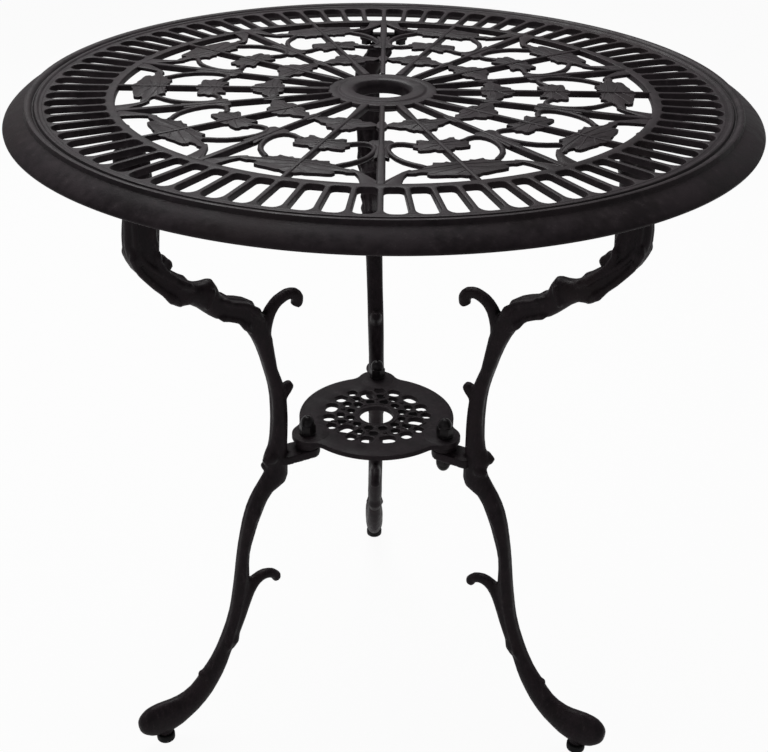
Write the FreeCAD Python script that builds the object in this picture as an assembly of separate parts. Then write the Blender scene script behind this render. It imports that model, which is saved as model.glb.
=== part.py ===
import FreeCAD, Part
import math
import os

# Round cast bistro table with an umbrella hole: an openwork top with a moulded rim,
# three branch-shaped legs, a small pierced shelf that ties the legs together, and
# screw-in foot glides. Millimetres, +Z up, origin on the floor under the centre of the top.

Vec = FreeCAD.Vector
UP = Vec(0, 0, 1)
ORIGIN = Vec(0, 0, 0)

# Overall sizes
TABLE_HEIGHT = 664.0
TOP_DIAMETER = 661.0

# Top: deck, rim mouldings and hub
DECK_THICKNESS = 5.0
RIM_WIDTH = 36.5
RIM_DEPTH = 17.0
SKIRT_WIDTH = 18.5
SKIRT_DROP = 12.0
SKIRT_STEPS = 3
RIM_LIP = 5.0
RIM_STEP = 2.0
BEAD_WIDTH = 8.6
BEAD_RISE = 2.2
HUB_RADIUS = 48.5
HUB_COLLAR_WALL = 8.0
HUB_COLLAR_DEPTH = 12.0
HUB_COLLAR_FLARE = 3.0
POLE_HOLE_DIAMETER = 47.0
POLE_HOLE_CHAMFER = 3.5

# Slot band between the rim and the lattice's ring
RING_WIDTH = 8.0
SLOT_LENGTH = 51.0
SLOT_COUNT = 80
SLOT_BAR_WIDTH = 4.6

# Lattice: ten leaf stems, and ten fleur stems halfway between them
SECTOR_COUNT = 10
STEM_WIDTH = 4.6
HUB_STEM_WIDTH = 7.0
HUB_STEM_LENGTH = 22.0
STEM_SINK = 1.0
VINE_WIDTH = 3.6
# Half outlines as (distance from the stem's axis, radius), from the outer end inwards,
# drawn for a lattice between these two radii
DRAWN_HUB_RADIUS = 48.5
DRAWN_RING_RADIUS = 235.0
OUTER_LEAF = ((0.0, 222.0), (29.5, 212.5), (47.0, 203.5), (24.0, 195.5), (28.0, 190.0), (0.0, 190.5))
MIDDLE_LEAF = ((0.0, 159.0), (17.8, 157.5), (17.8, 150.5), (32.0, 136.0), (18.5, 139.0), (0.0, 136.0))
INNER_LEAF = ((0.0, 115.5), (14.5, 105.5), (29.5, 97.0), (11.5, 94.5), (0.0, 89.0))
PETAL = ((0.0, 236.0), (6.5, 236.0), (13.5, 221.5), (24.0, 208.0), (22.6, 201.0), (6.0, 211.5), (0.0, 218.0))
TULIP = ((0.0, 177.0), (6.4, 181.0), (4.4, 162.0), (12.0, 142.5), (0.0, 133.5))
STEM_NODE = ((0.0, 112.0), (4.75, 101.0), (0.0, 84.0))
# Vine from the waist of the tulip round to the outer leaf
VINE = ((47.5, 154.0), (47.0, 165.0), (38.0, 183.5), (25.0, 196.0))

# Lower shelf
SHELF_DROP = 337.0
SHELF_RADIUS = 78.0
SHELF_THICKNESS = 5.0
SHELF_HOLE_DIAMETER = 34.0
SHELF_LOBE_RADIUS = 20.0
SHELF_LOBE_FILLET = 14.0
SHELF_LOBE_REACH = 15.0
SHELF_BOLT_OFFSET = 5.0
SHELF_BOSS_DIAMETER = 25.0
SHELF_BOSS_HEIGHT = 8.0
SHELF_PAD_RISE = 1.0
SHELF_ARMS = 6
SHELF_TURN = 15.0
DISC_CHORD_ANGLE = 10.0
LOBE_CHORD_ANGLE = 24.0
# Openings of the shelf as half outlines, (distance from the arm's axis, radius),
# drawn for a shelf between these two radii
DRAWN_HOLE_RADIUS = 17.0
DRAWN_SHELF_RADIUS = 78.0
SHELF_TREFOIL = ((9.5, 51.5), (10.0, 47.0), (4.2, 44.5), (4.2, 35.5), (0.0, 32.5))
SHELF_WINDOW = ((8.5, 51.5), (8.5, 43.0))
SHELF_SLIT = ((12.0, 52.5), (16.0, 51.5), (14.0, 42.0), (11.5, 42.5))

# Legs
LEG_COUNT = 3
REAR_LEG_ANGLE = 90.0
BRANCH_SIDES = 8
TWIG_SIDES = 6
FLANGE_WIDTH = 14.0
FLANGE_THICKNESS = 7.0
FLANGE_SINK = 1.0
TOP_BOSS_HEIGHT = 8.0
TOP_SCREW_OFFSET = 18.0
TAB_WIDTH = 25.0
TAB_SIDES = 12
TAB_LENGTH = 35.0
TAB_THICKNESS = 9.0
KNUCKLE_DROP = 5.0
FOOT_BALL_RADIUS = 19.0
FOOT_BALL_DEPTH = 19.0
FOOT_BALL_EDGE = 3.8
FOOT_BALL_OUTSET = 10.0
FOOT_SEAT_HEIGHT = 1.0
DRUM_SIDES = 12
GLIDE_OUTSET = 9.0
# Stations of the branch as drawn: (radius from the table's axis, height, width in the
# leg's plane, thickness across it). The lower ones run from the middle of the foot, the
# upper ones from the knuckle that carries the tab to the flange.
LOWER_STATIONS = (
    (246.0, 28.8, 33.0, 18.0),
    (228.0, 34.0, 30.0, 17.5),
    (209.0, 45.5, 24.5, 16.0),
    (192.0, 66.0, 20.0, 14.0),
    (171.5, 110.0, 16.5, 12.5),
    (155.5, 170.0, 17.0, 12.0),
    (152.0, 209.0, 14.5, 12.0),
    (141.0, 252.0, 16.5, 12.5),
    (129.0, 277.0, 19.0, 13.0),
)
UPPER_STATIONS = (
    (113.0, 300.0, 26.0, 14.5),
    (110.0, 324.0, 19.5, 13.0),
    (109.0, 378.0, 15.5, 12.5),
    (117.5, 411.0, 10.5, 12.0),
    (121.5, 432.0, 11.5, 13.0),
    (130.0, 463.0, 19.0, 15.0),
    (159.0, 487.5, 15.0, 15.5),
    (178.0, 505.0, 24.0, 17.0),
    (200.0, 514.0, 20.0, 17.0),
    (222.0, 532.0, 20.0, 17.5),
    (238.5, 562.0, 26.0, 18.0),
    (240.0, 610.0, 22.0, 20.0),
    (239.0, 645.0, 13.0, 20.0),
)
# Side twigs as drawn: (radius, height, thickness), from the root to the curled tip
UPPER_TWIG = ((126.0, 462.0, 15.0), (117.5, 481.0, 11.0), (104.0, 488.5, 9.5), (91.0, 485.5, 9.5),
              (90.5, 475.0, 8.0))
LOWER_TWIG = ((156.0, 162.0, 18.0), (143.0, 173.0, 13.0), (128.0, 173.5, 11.0), (117.5, 169.5, 10.0),
              (112.0, 161.0, 9.0))
BUD = ((110.0, 385.0, 12.0), (101.0, 388.0, 12.0), (95.0, 390.0, 6.0))

# Fasteners and their clearances
ROD_SIDES = 8
WASHER_SIDES = 12
SHELF_STUD_DIAMETER = 8.0
STUD_CLEARANCE = 0.25
NUT_CLEARANCE = 0.05
STUD_STUB = 2.0
WASHER_DIAMETER = 16.5
WASHER_THICKNESS = 1.6
CAP_NUT_FLATS = 13.0
CAP_NUT_HEX_HEIGHT = 8.0
CAP_NUT_HEIGHT = 15.0
CAP_NUT_BORE_DEPTH = 10.0
DOME_STEPS = 3
DOME_SWEEP = 75.0
TOP_SCREW_DIAMETER = 6.0
TOP_SCREW_GRIP = 6.5
TOP_SCREW_FLATS = 10.0
TOP_SCREW_HEAD = 4.0
THREAD_CLEARANCE = 0.05
SCREW_END_GAP = 0.5
STUD_END_GAP = 1.0
# How far a cutting shape runs past the face it opens
OVERRUN = 1.0

# Foot glides: a pad on a threaded stud that screws up into the foot
GLIDE_DIAMETER = 19.0
GLIDE_HEIGHT = 8.5
GLIDE_EDGE = 1.5
GLIDE_STUD_DIAMETER = 8.0
GLIDE_STUD_LENGTH = 16.0
GLIDE_SEAT_DIAMETER = 15.0
GLIDE_GAP = 0.3
GLIDE_THREAD_CLEARANCE = 0.05
GLIDE_STUD_SINK = 5.0

# Heights and radii that follow from the sizes above
TOP_RADIUS = TOP_DIAMETER / 2
DECK_BOTTOM = TABLE_HEIGHT - DECK_THICKNESS
SLOT_OUTER_RADIUS = TOP_RADIUS - RIM_WIDTH
SLOT_INNER_RADIUS = SLOT_OUTER_RADIUS - SLOT_LENGTH
LATTICE_RADIUS = SLOT_INNER_RADIUS - RING_WIDTH
FLANGE_RADIUS = LATTICE_RADIUS + RING_WIDTH / 2
FLANGE_TOP = DECK_BOTTOM - TOP_BOSS_HEIGHT
FLANGE_BOTTOM = FLANGE_TOP - FLANGE_THICKNESS
SHELF_TOP = TABLE_HEIGHT - SHELF_DROP
SHELF_BOTTOM = SHELF_TOP - SHELF_THICKNESS
PAD_TOP = SHELF_TOP + SHELF_PAD_RISE
TAB_TOP = SHELF_BOTTOM - SHELF_BOSS_HEIGHT
TAB_BOTTOM = TAB_TOP - TAB_THICKNESS
SHELF_LOBE_CENTRE = SHELF_RADIUS + SHELF_LOBE_REACH - SHELF_LOBE_RADIUS
SHELF_BOLT_RADIUS = SHELF_LOBE_CENTRE + SHELF_BOLT_OFFSET
KNUCKLE_RADIUS = SHELF_BOLT_RADIUS + TAB_LENGTH
KNUCKLE_HEIGHT = TAB_BOTTOM - KNUCKLE_DROP
GLIDE_RADIUS = FLANGE_RADIUS + GLIDE_OUTSET
FOOT_BOTTOM = GLIDE_HEIGHT + GLIDE_GAP
FOOT_BALL_CENTRE = (GLIDE_RADIUS + FOOT_BALL_OUTSET, FOOT_BOTTOM + FOOT_BALL_RADIUS + FOOT_SEAT_HEIGHT)


def polar(radius, angle, height=0.0):
    a = math.radians(angle)
    return Vec(radius * math.cos(a), radius * math.sin(a), height)


def turned(shape, angle):
    copy = shape.copy()
    copy.rotate(ORIGIN, UP, angle)
    return copy


def raised(shape, height):
    copy = shape.copy()
    copy.translate(Vec(0, 0, height))
    return copy


def cylinder(radius, bottom, top):
    return Part.makeCylinder(radius, top - bottom, Vec(0, 0, bottom))


def between(value, drawn_low, drawn_high, low, high):
    """Value moved from the drawn span to the real one, in proportion."""
    return low + (value - drawn_low) * (high - low) / (drawn_high - drawn_low)


def flat_face(corners):
    return Part.Face(Part.makePolygon(corners + corners[:1]))


def polygon_face(points):
    return flat_face([Vec(x, y, 0) for x, y in points])


def prism(radius, sides, bottom, top, centre=ORIGIN):
    """Upright prism with its corners on the radius."""
    corners = [polar(radius, 360.0 / sides * k) + Vec(centre.x, centre.y, bottom) for k in range(sides)]
    return flat_face(corners).extrude(Vec(0, 0, top - bottom))


def rod(radius, bottom, top, centre):
    """Shank of a small fastener: its corners touch the radius."""
    return prism(radius, ROD_SIDES, bottom, top, centre)


def bore(radius, bottom, top, centre=ORIGIN):
    """Hole for a small fastener: its flats touch the radius."""
    return prism(radius / math.cos(math.pi / ROD_SIDES), ROD_SIDES, bottom, top, centre)


def spread(outline, drawn_inner, drawn_outer, inner, outer):
    """Outline moved out or in along its radii, from the drawn radii to the real ones."""
    moved = []
    for x, y in outline:
        radius = between(y, drawn_inner, drawn_outer, inner, outer)
        moved.append((x * radius / y, radius))
    return moved


def in_lattice(outline):
    return spread(outline, DRAWN_HUB_RADIUS, DRAWN_RING_RADIUS, HUB_RADIUS, LATTICE_RADIUS)


def in_shelf(outline):
    return spread(outline, DRAWN_HOLE_RADIUS, DRAWN_SHELF_RADIUS, SHELF_HOLE_DIAMETER / 2, SHELF_RADIUS)


def mirrored_face(half_outline):
    """Face from a half outline that starts and ends on the axis or at an open edge."""
    other = [(-x, y) for x, y in reversed(half_outline) if x > 0]
    return polygon_face(list(half_outline) + other)


def band_face(points, width):
    """Flat band of a steady width along a line of points."""
    line = [Vec(x, y, 0) for x, y in points]
    left, right = [], []
    for i, point in enumerate(line):
        along = line[min(i + 1, len(line) - 1)] - line[max(i - 1, 0)]
        side = Vec(-along.y, along.x, 0).normalize() * (width / 2)
        left.append(point + side)
        right.append(point - side)
    return flat_face(left + right[::-1])


def sector_face(inner, outer, angle):
    """Sector between two radii, from the +Y axis clockwise through the angle."""
    a = math.radians(angle)
    half = a / 2

    def at(radius, turn):
        return Vec(radius * math.sin(turn), radius * math.cos(turn), 0)

    edges = [
        Part.makeLine(at(inner, 0), at(outer, 0)),
        Part.Arc(at(outer, 0), at(outer, half), at(outer, a)).toShape(),
        Part.makeLine(at(outer, a), at(inner, a)),
        Part.Arc(at(inner, a), at(inner, half), at(inner, 0)).toShape(),
    ]
    return Part.Face(Part.Wire(edges))


def bar_face(width, inner, outer):
    return polygon_face([(-width / 2, inner), (-width / 2, outer), (width / 2, outer), (width / 2, inner)])


def stem_face():
    """Bar of a stem, from within the hub to within the ring."""
    return bar_face(STEM_WIDTH, HUB_RADIUS - STEM_SINK, LATTICE_RADIUS + STEM_SINK)


def leaf_stem_faces():
    """The stem with the three leaves, along +Y, and one vine beside it."""
    half = HUB_STEM_WIDTH / 2
    end = HUB_RADIUS + HUB_STEM_LENGTH
    widening = mirrored_face([(0, end + HUB_STEM_LENGTH), (half, end), (half, HUB_RADIUS - STEM_SINK)])
    leaves = [mirrored_face(in_lattice(outline)) for outline in (OUTER_LEAF, MIDDLE_LEAF, INNER_LEAF)]
    return [stem_face(), widening, band_face(in_lattice(VINE), VINE_WIDTH)] + leaves


def fleur_stem_faces():
    """The stem with a petal on each side at the ring, the tulip and the node, along +Y."""
    petal = polygon_face(in_lattice(PETAL))
    middle = [mirrored_face(in_lattice(outline)) for outline in (TULIP, STEM_NODE)]
    return [stem_face(), petal, petal.mirror(ORIGIN, Vec(1, 0, 0))] + middle


def lattice_openings():
    """Wires of all openings between the hub and the ring, at height zero."""
    half_angle = 180.0 / SECTOR_COUNT
    open_area = sector_face(HUB_RADIUS, LATTICE_RADIUS, half_angle)
    metal = leaf_stem_faces() + [turned(face, -half_angle) for face in fleur_stem_faces()]
    openings = open_area.cut(metal).Faces
    wires = []
    for face in openings:
        if face.Area < STEM_WIDTH ** 2 / 4:
            continue
        pair = (face.OuterWire, face.OuterWire.mirror(ORIGIN, Vec(1, 0, 0)))
        for k in range(SECTOR_COUNT):
            wires += [turned(wire, 360.0 / SECTOR_COUNT * k) for wire in pair]
    return wires


def slot_wires():
    """Slots that leave bars of a steady width between them."""
    half_pitch = math.pi / SLOT_COUNT

    def side(radius):
        return radius * math.tan(half_pitch) - SLOT_BAR_WIDTH / 2 / math.cos(half_pitch)

    half = [(side(radius), radius) for radius in (SLOT_INNER_RADIUS, SLOT_OUTER_RADIUS)]
    wire = mirrored_face(half).OuterWire
    return [turned(wire, 360.0 / SLOT_COUNT * (k + 0.5)) for k in range(SLOT_COUNT)]


def rim():
    """Moulded rim: a bead, a step and a rounded skirt, hollow underneath."""
    top = TABLE_HEIGHT
    skirt_start = TOP_RADIUS - SKIRT_WIDTH
    skirt_low = top - RIM_STEP - SKIRT_DROP
    inner = SLOT_OUTER_RADIUS + RING_WIDTH / 4
    profile = [(inner, top), (skirt_start - BEAD_WIDTH, top), (skirt_start - BEAD_WIDTH / 2, top + BEAD_RISE),
               (skirt_start, top - RIM_STEP)]
    for k in range(1, SKIRT_STEPS + 1):
        turn = math.radians(90.0 * k / SKIRT_STEPS)
        profile.append((skirt_start + SKIRT_WIDTH * math.sin(turn), skirt_low + SKIRT_DROP * math.cos(turn)))
    profile += [(TOP_RADIUS - RIM_LIP / 2, top - RIM_DEPTH), (TOP_RADIUS - RIM_LIP * 1.5, top - RIM_DEPTH),
                (skirt_start, top - DECK_THICKNESS), (inner, top - DECK_THICKNESS)]
    return flat_face([Vec(r, 0, z) for r, z in profile]).revolve(ORIGIN, UP, 360)


def hub():
    """Hub disc with a collar below it, round the pole hole."""
    hole = POLE_HOLE_DIAMETER / 2
    collar = hole + HUB_COLLAR_WALL
    top = TABLE_HEIGHT
    low = top - HUB_COLLAR_DEPTH
    profile = [(hole, low), (hole, top - POLE_HOLE_CHAMFER), (hole + POLE_HOLE_CHAMFER, top),
               (HUB_RADIUS, top), (HUB_RADIUS, top - DECK_THICKNESS),
               (collar + HUB_COLLAR_FLARE, top - DECK_THICKNESS), (collar, low)]
    return flat_face([Vec(r, 0, z) for r, z in profile]).revolve(ORIGIN, UP, 360)


def leg_angles():
    return [REAR_LEG_ANGLE + 360.0 / LEG_COUNT * k for k in range(LEG_COUNT)]


def screw_places(angle):
    """The two screw axes of a leg's flange, to the left and right of the leg."""
    side = polar(TOP_SCREW_OFFSET, angle + 90)
    return [polar(FLANGE_RADIUS, angle) + side, polar(FLANGE_RADIUS, angle) - side]


def table_top():
    """Deck with all its openings, rim, hub and the screw bosses, as one casting."""
    inner_edge = Part.Wire(Part.makeCircle(POLE_HOLE_DIAMETER / 2 + HUB_COLLAR_WALL))
    outer_edge = Part.Wire(Part.makeCircle(SLOT_OUTER_RADIUS + RING_WIDTH / 4))
    holes = lattice_openings() + slot_wires()
    deck = Part.makeFace([outer_edge, inner_edge] + holes, "Part::FaceMakerBullseye")
    deck = raised(deck, DECK_BOTTOM).extrude(Vec(0, 0, DECK_THICKNESS))
    bosses = []
    for angle in leg_angles():
        for place in screw_places(angle):
            bosses.append(prism(FLANGE_WIDTH / 2, ROD_SIDES, FLANGE_TOP, DECK_BOTTOM, place))
    top = deck.fuse([rim(), hub()] + bosses)
    radius = TOP_SCREW_DIAMETER / 2 + THREAD_CLEARANCE
    tapped = [bore(radius, FLANGE_TOP - OVERRUN, FLANGE_TOP + TOP_SCREW_GRIP, place)
              for angle in leg_angles() for place in screw_places(angle)]
    return top.cut(tapped).removeSplitter()


def leg_point(radius, height):
    """Drawn point of a leg, moved so that foot, knuckle and flange are where they belong."""
    foot, knuckle, top = LOWER_STATIONS[0], UPPER_STATIONS[0], UPPER_STATIONS[-1]
    x = between(radius, knuckle[0], top[0], KNUCKLE_RADIUS, FLANGE_RADIUS)
    if height < knuckle[1]:
        z = between(height, foot[1], knuckle[1], FOOT_BALL_CENTRE[1], KNUCKLE_HEIGHT)
    else:
        z = between(height, knuckle[1], top[1], KNUCKLE_HEIGHT, FLANGE_BOTTOM + FLANGE_SINK)
    return Vec(x, 0, z)


def section(centre, along, width, thickness, sides):
    """Flat-sided section of a branch, square to its run in the leg's plane."""
    across = Vec(-along.z, 0, along.x)
    reach = 0.5 / math.cos(math.pi / sides)
    corners = []
    for k in range(sides):
        turn = 2 * math.pi * (k + 0.5) / sides
        side = Vec(0, thickness * reach * math.sin(turn), 0)
        corners.append(centre + across * (width * reach * math.cos(turn)) + side)
    return corners


def branch(stations, sides):
    """Skin of flat facets through sections set square to the line of stations."""
    centres = [leg_point(radius, height) for radius, height, _, _ in stations]
    last = len(centres) - 1
    rings = []
    for i, (_, _, width, thickness) in enumerate(stations):
        along = centres[min(i + 1, last)] - centres[max(i - 1, 0)]
        along.normalize()
        rings.append(section(centres[i], along, width, thickness, sides))
    return skin(rings, split=True)


def twig(stations):
    return branch([(radius, height, size, size) for radius, height, size in stations], TWIG_SIDES)


def skin(rings, split=False):
    """Solid through rings of corners, with its four-sided facets split where they bend."""
    faces = [flat_face(rings[0]), flat_face(rings[-1])]
    for low, high in zip(rings, rings[1:]):
        for k in range(len(low)):
            if split:
                faces.append(flat_face([low[k - 1], low[k], high[k]]))
                faces.append(flat_face([low[k - 1], high[k], high[k - 1]]))
            else:
                faces.append(flat_face([low[k - 1], low[k], high[k], high[k - 1]]))
    solid = Part.makeSolid(Part.makeShell(faces))
    if solid.Volume < 0:
        solid.reverse()
    return solid


def slab(length_from, length_to, width, bottom, top):
    """Flat lug along X with a round end at its inner end."""
    body = Part.makeBox(length_to - length_from, width, top - bottom, Vec(length_from, -width / 2, bottom))
    return body.fuse(prism(width / 2, TAB_SIDES, bottom, top, Vec(length_from, 0, 0)))


def leg_blank():
    """A leg in the XZ plane, radius along +X."""
    body = branch(LOWER_STATIONS + UPPER_STATIONS, BRANCH_SIDES)
    ball_x, ball_z = FOOT_BALL_CENTRE
    ball = drum(FOOT_BALL_RADIUS, FOOT_BALL_DEPTH, ball_x, ball_z)
    seat = prism(GLIDE_SEAT_DIAMETER / 2, ROD_SIDES, FOOT_BOTTOM, ball_z, Vec(GLIDE_RADIUS, 0, 0))
    tab = slab(SHELF_BOLT_RADIUS, KNUCKLE_RADIUS, TAB_WIDTH, TAB_BOTTOM, TAB_TOP)
    bar = Part.makeBox(FLANGE_WIDTH, 2 * TOP_SCREW_OFFSET, FLANGE_THICKNESS,
                       Vec(FLANGE_RADIUS - FLANGE_WIDTH / 2, -TOP_SCREW_OFFSET, FLANGE_BOTTOM))
    ears = [prism(FLANGE_WIDTH / 2, ROD_SIDES, FLANGE_BOTTOM, FLANGE_TOP,
                  Vec(FLANGE_RADIUS, side, 0)) for side in (-TOP_SCREW_OFFSET, TOP_SCREW_OFFSET)]
    return body.fuse([ball, seat, tab, bar, twig(UPPER_TWIG), twig(LOWER_TWIG), twig(BUD)] + ears)


def drum(radius, depth, x, z):
    """Drum across the leg's plane, with its two rims chamfered."""
    edge = FOOT_BALL_EDGE
    y = depth / 2
    rings = []
    for reach, side in ((radius - edge, -y), (radius, edge - y), (radius, y - edge), (radius - edge, y)):
        turns = [2 * math.pi * k / DRUM_SIDES for k in range(DRUM_SIDES)]
        rings.append([Vec(x + reach * math.cos(t), side, z + reach * math.sin(t)) for t in turns])
    return skin(rings)


def leg():
    """Leg with its shelf bolt hole, flange screw holes and the glide's tapped hole."""
    stud_hole = bore(SHELF_STUD_DIAMETER / 2 + STUD_CLEARANCE, TAB_BOTTOM - OVERRUN, TAB_TOP + OVERRUN,
                     Vec(SHELF_BOLT_RADIUS, 0, 0))
    screw_holes = [bore(TOP_SCREW_DIAMETER / 2 + STUD_CLEARANCE, FLANGE_BOTTOM - OVERRUN,
                        FLANGE_TOP + OVERRUN, Vec(FLANGE_RADIUS, side, 0))
                   for side in (-TOP_SCREW_OFFSET, TOP_SCREW_OFFSET)]
    glide_hole = bore(GLIDE_STUD_DIAMETER / 2 + GLIDE_THREAD_CLEARANCE, FOOT_BOTTOM - OVERRUN,
                      FOOT_BOTTOM + GLIDE_STUD_LENGTH, Vec(GLIDE_RADIUS, 0, 0))
    return leg_blank().cut([stud_hole, glide_hole] + screw_holes)


def arc_points(centre, radius, start, end, step):
    """Points of an arc in even chords of about the step, from start to end in degrees."""
    count = max(1, round(abs(end - start) / step))
    return [centre + polar(radius, start + (end - start) * k / count) for k in range(count + 1)]


def fillet_turns():
    """Turns from a lobe's axis to its fillets, seen from the disc's centre and from the lobe's."""
    reach = SHELF_RADIUS + SHELF_LOBE_FILLET
    span = SHELF_LOBE_RADIUS + SHELF_LOBE_FILLET
    cosine = (reach ** 2 + SHELF_LOBE_CENTRE ** 2 - span ** 2) / (2 * reach * SHELF_LOBE_CENTRE)
    turn = math.degrees(math.acos(cosine))
    tilt = turn + math.degrees(math.asin(SHELF_LOBE_CENTRE * math.sin(math.radians(turn)) / span))
    return turn, tilt


def shelf_outline():
    """Disc with three rounded lobes and fillets where they meet it."""
    reach = SHELF_RADIUS + SHELF_LOBE_FILLET
    turn, tilt = fillet_turns()
    gap = 360.0 / LEG_COUNT
    corners = []
    for angle in leg_angles():
        before, after = polar(reach, angle - turn), polar(reach, angle + turn)
        lobe = polar(SHELF_LOBE_CENTRE, angle)
        low, high = angle - tilt, angle + tilt
        corners += arc_points(before, SHELF_LOBE_FILLET, angle - turn + 180, low + 180, LOBE_CHORD_ANGLE)
        corners += arc_points(lobe, SHELF_LOBE_RADIUS, low, high, LOBE_CHORD_ANGLE)[1:-1]
        corners += arc_points(after, SHELF_LOBE_FILLET, high + 180, angle + turn + 180, LOBE_CHORD_ANGLE)
        corners += arc_points(ORIGIN, SHELF_RADIUS, angle + turn, angle + gap - turn, DISC_CHORD_ANGLE)[1:-1]
    return flat_face(corners)


def lobe_face(angle):
    """Round of one lobe, with the same corners as the shelf's outline."""
    centre = polar(SHELF_LOBE_CENTRE, angle)
    tilt = fillet_turns()[1]
    low, high = angle - tilt, angle + tilt
    outer = arc_points(centre, SHELF_LOBE_RADIUS, low, high, LOBE_CHORD_ANGLE)
    inner = arc_points(centre, SHELF_LOBE_RADIUS, high, low + 360, LOBE_CHORD_ANGLE)
    return flat_face(outer[:-1] + inner[:-1])


def shelf_openings():
    """Faces of the rosette: trefoils on the arms, windows and slits between them."""
    step = 360.0 / SHELF_ARMS
    trefoil = mirrored_face(in_shelf(SHELF_TREFOIL))
    window = mirrored_face(in_shelf(SHELF_WINDOW))
    slit = polygon_face(in_shelf(SHELF_SLIT))
    halfway = [turned(face, step / 2) for face in (window, slit, slit.mirror(ORIGIN, Vec(1, 0, 0)))]
    faces = []
    for k in range(SHELF_ARMS):
        faces += [turned(face, step * k + SHELF_TURN) for face in [trefoil] + halfway]
    return faces


def lower_shelf():
    """Pierced shelf; each lobe is raised for its nut and has a boss that stands on the leg's tab."""
    plate = raised(shelf_outline(), SHELF_BOTTOM).extrude(Vec(0, 0, SHELF_THICKNESS))
    pads = [raised(lobe_face(angle), SHELF_BOTTOM).extrude(Vec(0, 0, PAD_TOP - SHELF_BOTTOM))
            for angle in leg_angles()]
    bosses = [prism(SHELF_BOSS_DIAMETER / 2, TAB_SIDES, TAB_TOP, SHELF_BOTTOM, place)
              for place in shelf_places()]
    through = Vec(0, 0, SHELF_THICKNESS + 2 * OVERRUN)
    cuts = [raised(face, SHELF_BOTTOM - OVERRUN).extrude(through) for face in shelf_openings()]
    cuts.append(cylinder(SHELF_HOLE_DIAMETER / 2, SHELF_BOTTOM - OVERRUN, SHELF_TOP + OVERRUN))
    cuts += [bore(SHELF_STUD_DIAMETER / 2 + STUD_CLEARANCE, TAB_TOP - OVERRUN, PAD_TOP + OVERRUN, place)
             for place in shelf_places()]
    return plate.fuse(pads + bosses).cut(cuts).removeSplitter()


def hexagon(flats, bottom, top, centre=ORIGIN):
    return prism(flats / math.sqrt(3), 6, bottom, top, centre)


def washer(outer, hole, bottom, thickness, centre):
    ring = prism(outer / 2, WASHER_SIDES, bottom, bottom + thickness, centre)
    return ring.cut(bore(hole / 2, bottom - OVERRUN, bottom + thickness + OVERRUN, centre))


def dome(radius, bottom, height):
    """Dome with flat facets, from its base circle to a small flat crown."""
    rings = []
    for step in range(DOME_STEPS + 1):
        turn = math.radians(DOME_SWEEP * step / DOME_STEPS)
        level = bottom + height * math.sin(turn) / math.sin(math.radians(DOME_SWEEP))
        rings.append([polar(radius * math.cos(turn), 360.0 / ROD_SIDES * k, level) for k in range(ROD_SIDES)])
    return skin(rings)


def cap_nut(seat, direction, centre):
    """Domed nut that stands on its seat, upwards (+1) or downwards (-1)."""
    nut = hexagon(CAP_NUT_FLATS, 0, CAP_NUT_HEX_HEIGHT)
    nut = nut.fuse(dome(CAP_NUT_FLATS / 2, CAP_NUT_HEX_HEIGHT, CAP_NUT_HEIGHT - CAP_NUT_HEX_HEIGHT))
    nut = nut.cut(bore(SHELF_STUD_DIAMETER / 2 + NUT_CLEARANCE, -OVERRUN, CAP_NUT_BORE_DEPTH))
    if direction < 0:
        nut.rotate(ORIGIN, Vec(1, 0, 0), 180)
    nut.translate(Vec(centre.x, centre.y, seat))
    return nut


def shelf_places():
    return [polar(SHELF_BOLT_RADIUS, angle) for angle in leg_angles()]


def shelf_studs():
    """Studs through shelf and tab; the right-hand one is longer, for its lower cap nut."""
    top = PAD_TOP + WASHER_THICKNESS + CAP_NUT_BORE_DEPTH - STUD_END_GAP
    short = TAB_BOTTOM - STUD_STUB
    long = TAB_BOTTOM - CAP_NUT_BORE_DEPTH + STUD_END_GAP
    ends = (short, short, long)
    return [rod(SHELF_STUD_DIAMETER / 2, low, top, place) for low, place in zip(ends, shelf_places())]


def top_screws():
    """Hex screws from below, through the leg's flange into the bosses of the top."""
    screws = []
    seat = FLANGE_BOTTOM
    for angle in leg_angles():
        for place in screw_places(angle):
            shank = rod(TOP_SCREW_DIAMETER / 2, seat, FLANGE_TOP + TOP_SCREW_GRIP - SCREW_END_GAP, place)
            screws.append(hexagon(TOP_SCREW_FLATS, seat - TOP_SCREW_HEAD, seat, place).fuse(shank))
    return screws


def shelf_washers():
    hole = SHELF_STUD_DIAMETER + 2 * STUD_CLEARANCE
    return [washer(WASHER_DIAMETER, hole, PAD_TOP, WASHER_THICKNESS, place) for place in shelf_places()]


def glide_pad(centre):
    """Moulded foot pad with chamfered edges and a socket for the head of its stud."""
    radius = GLIDE_DIAMETER / 2
    levels = ((0, radius - GLIDE_EDGE), (GLIDE_EDGE, radius), (GLIDE_HEIGHT - GLIDE_EDGE, radius),
              (GLIDE_HEIGHT, GLIDE_SEAT_DIAMETER / 2))
    rings = [[centre + polar(reach, 360.0 / WASHER_SIDES * k, level) for k in range(WASHER_SIDES)]
             for level, reach in levels]
    socket = bore(GLIDE_STUD_DIAMETER / 2 + GLIDE_THREAD_CLEARANCE, GLIDE_HEIGHT - GLIDE_STUD_SINK,
                  GLIDE_HEIGHT + OVERRUN, centre)
    return skin(rings).cut(socket)


def glide_stud(centre):
    low = GLIDE_HEIGHT - GLIDE_STUD_SINK
    return rod(GLIDE_STUD_DIAMETER / 2, low, FOOT_BOTTOM + GLIDE_STUD_LENGTH - STUD_END_GAP, centre)


def save(name, shapes):
    solids = [solid for shape in shapes for solid in shape.Solids]
    shape = solids[0] if len(solids) == 1 else Part.makeCompound(solids)
    assert shape.isValid(), name
    shape.exportStep("parts/" + name + ".step")
    print(name, len(solids), round(shape.Volume))


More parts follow.
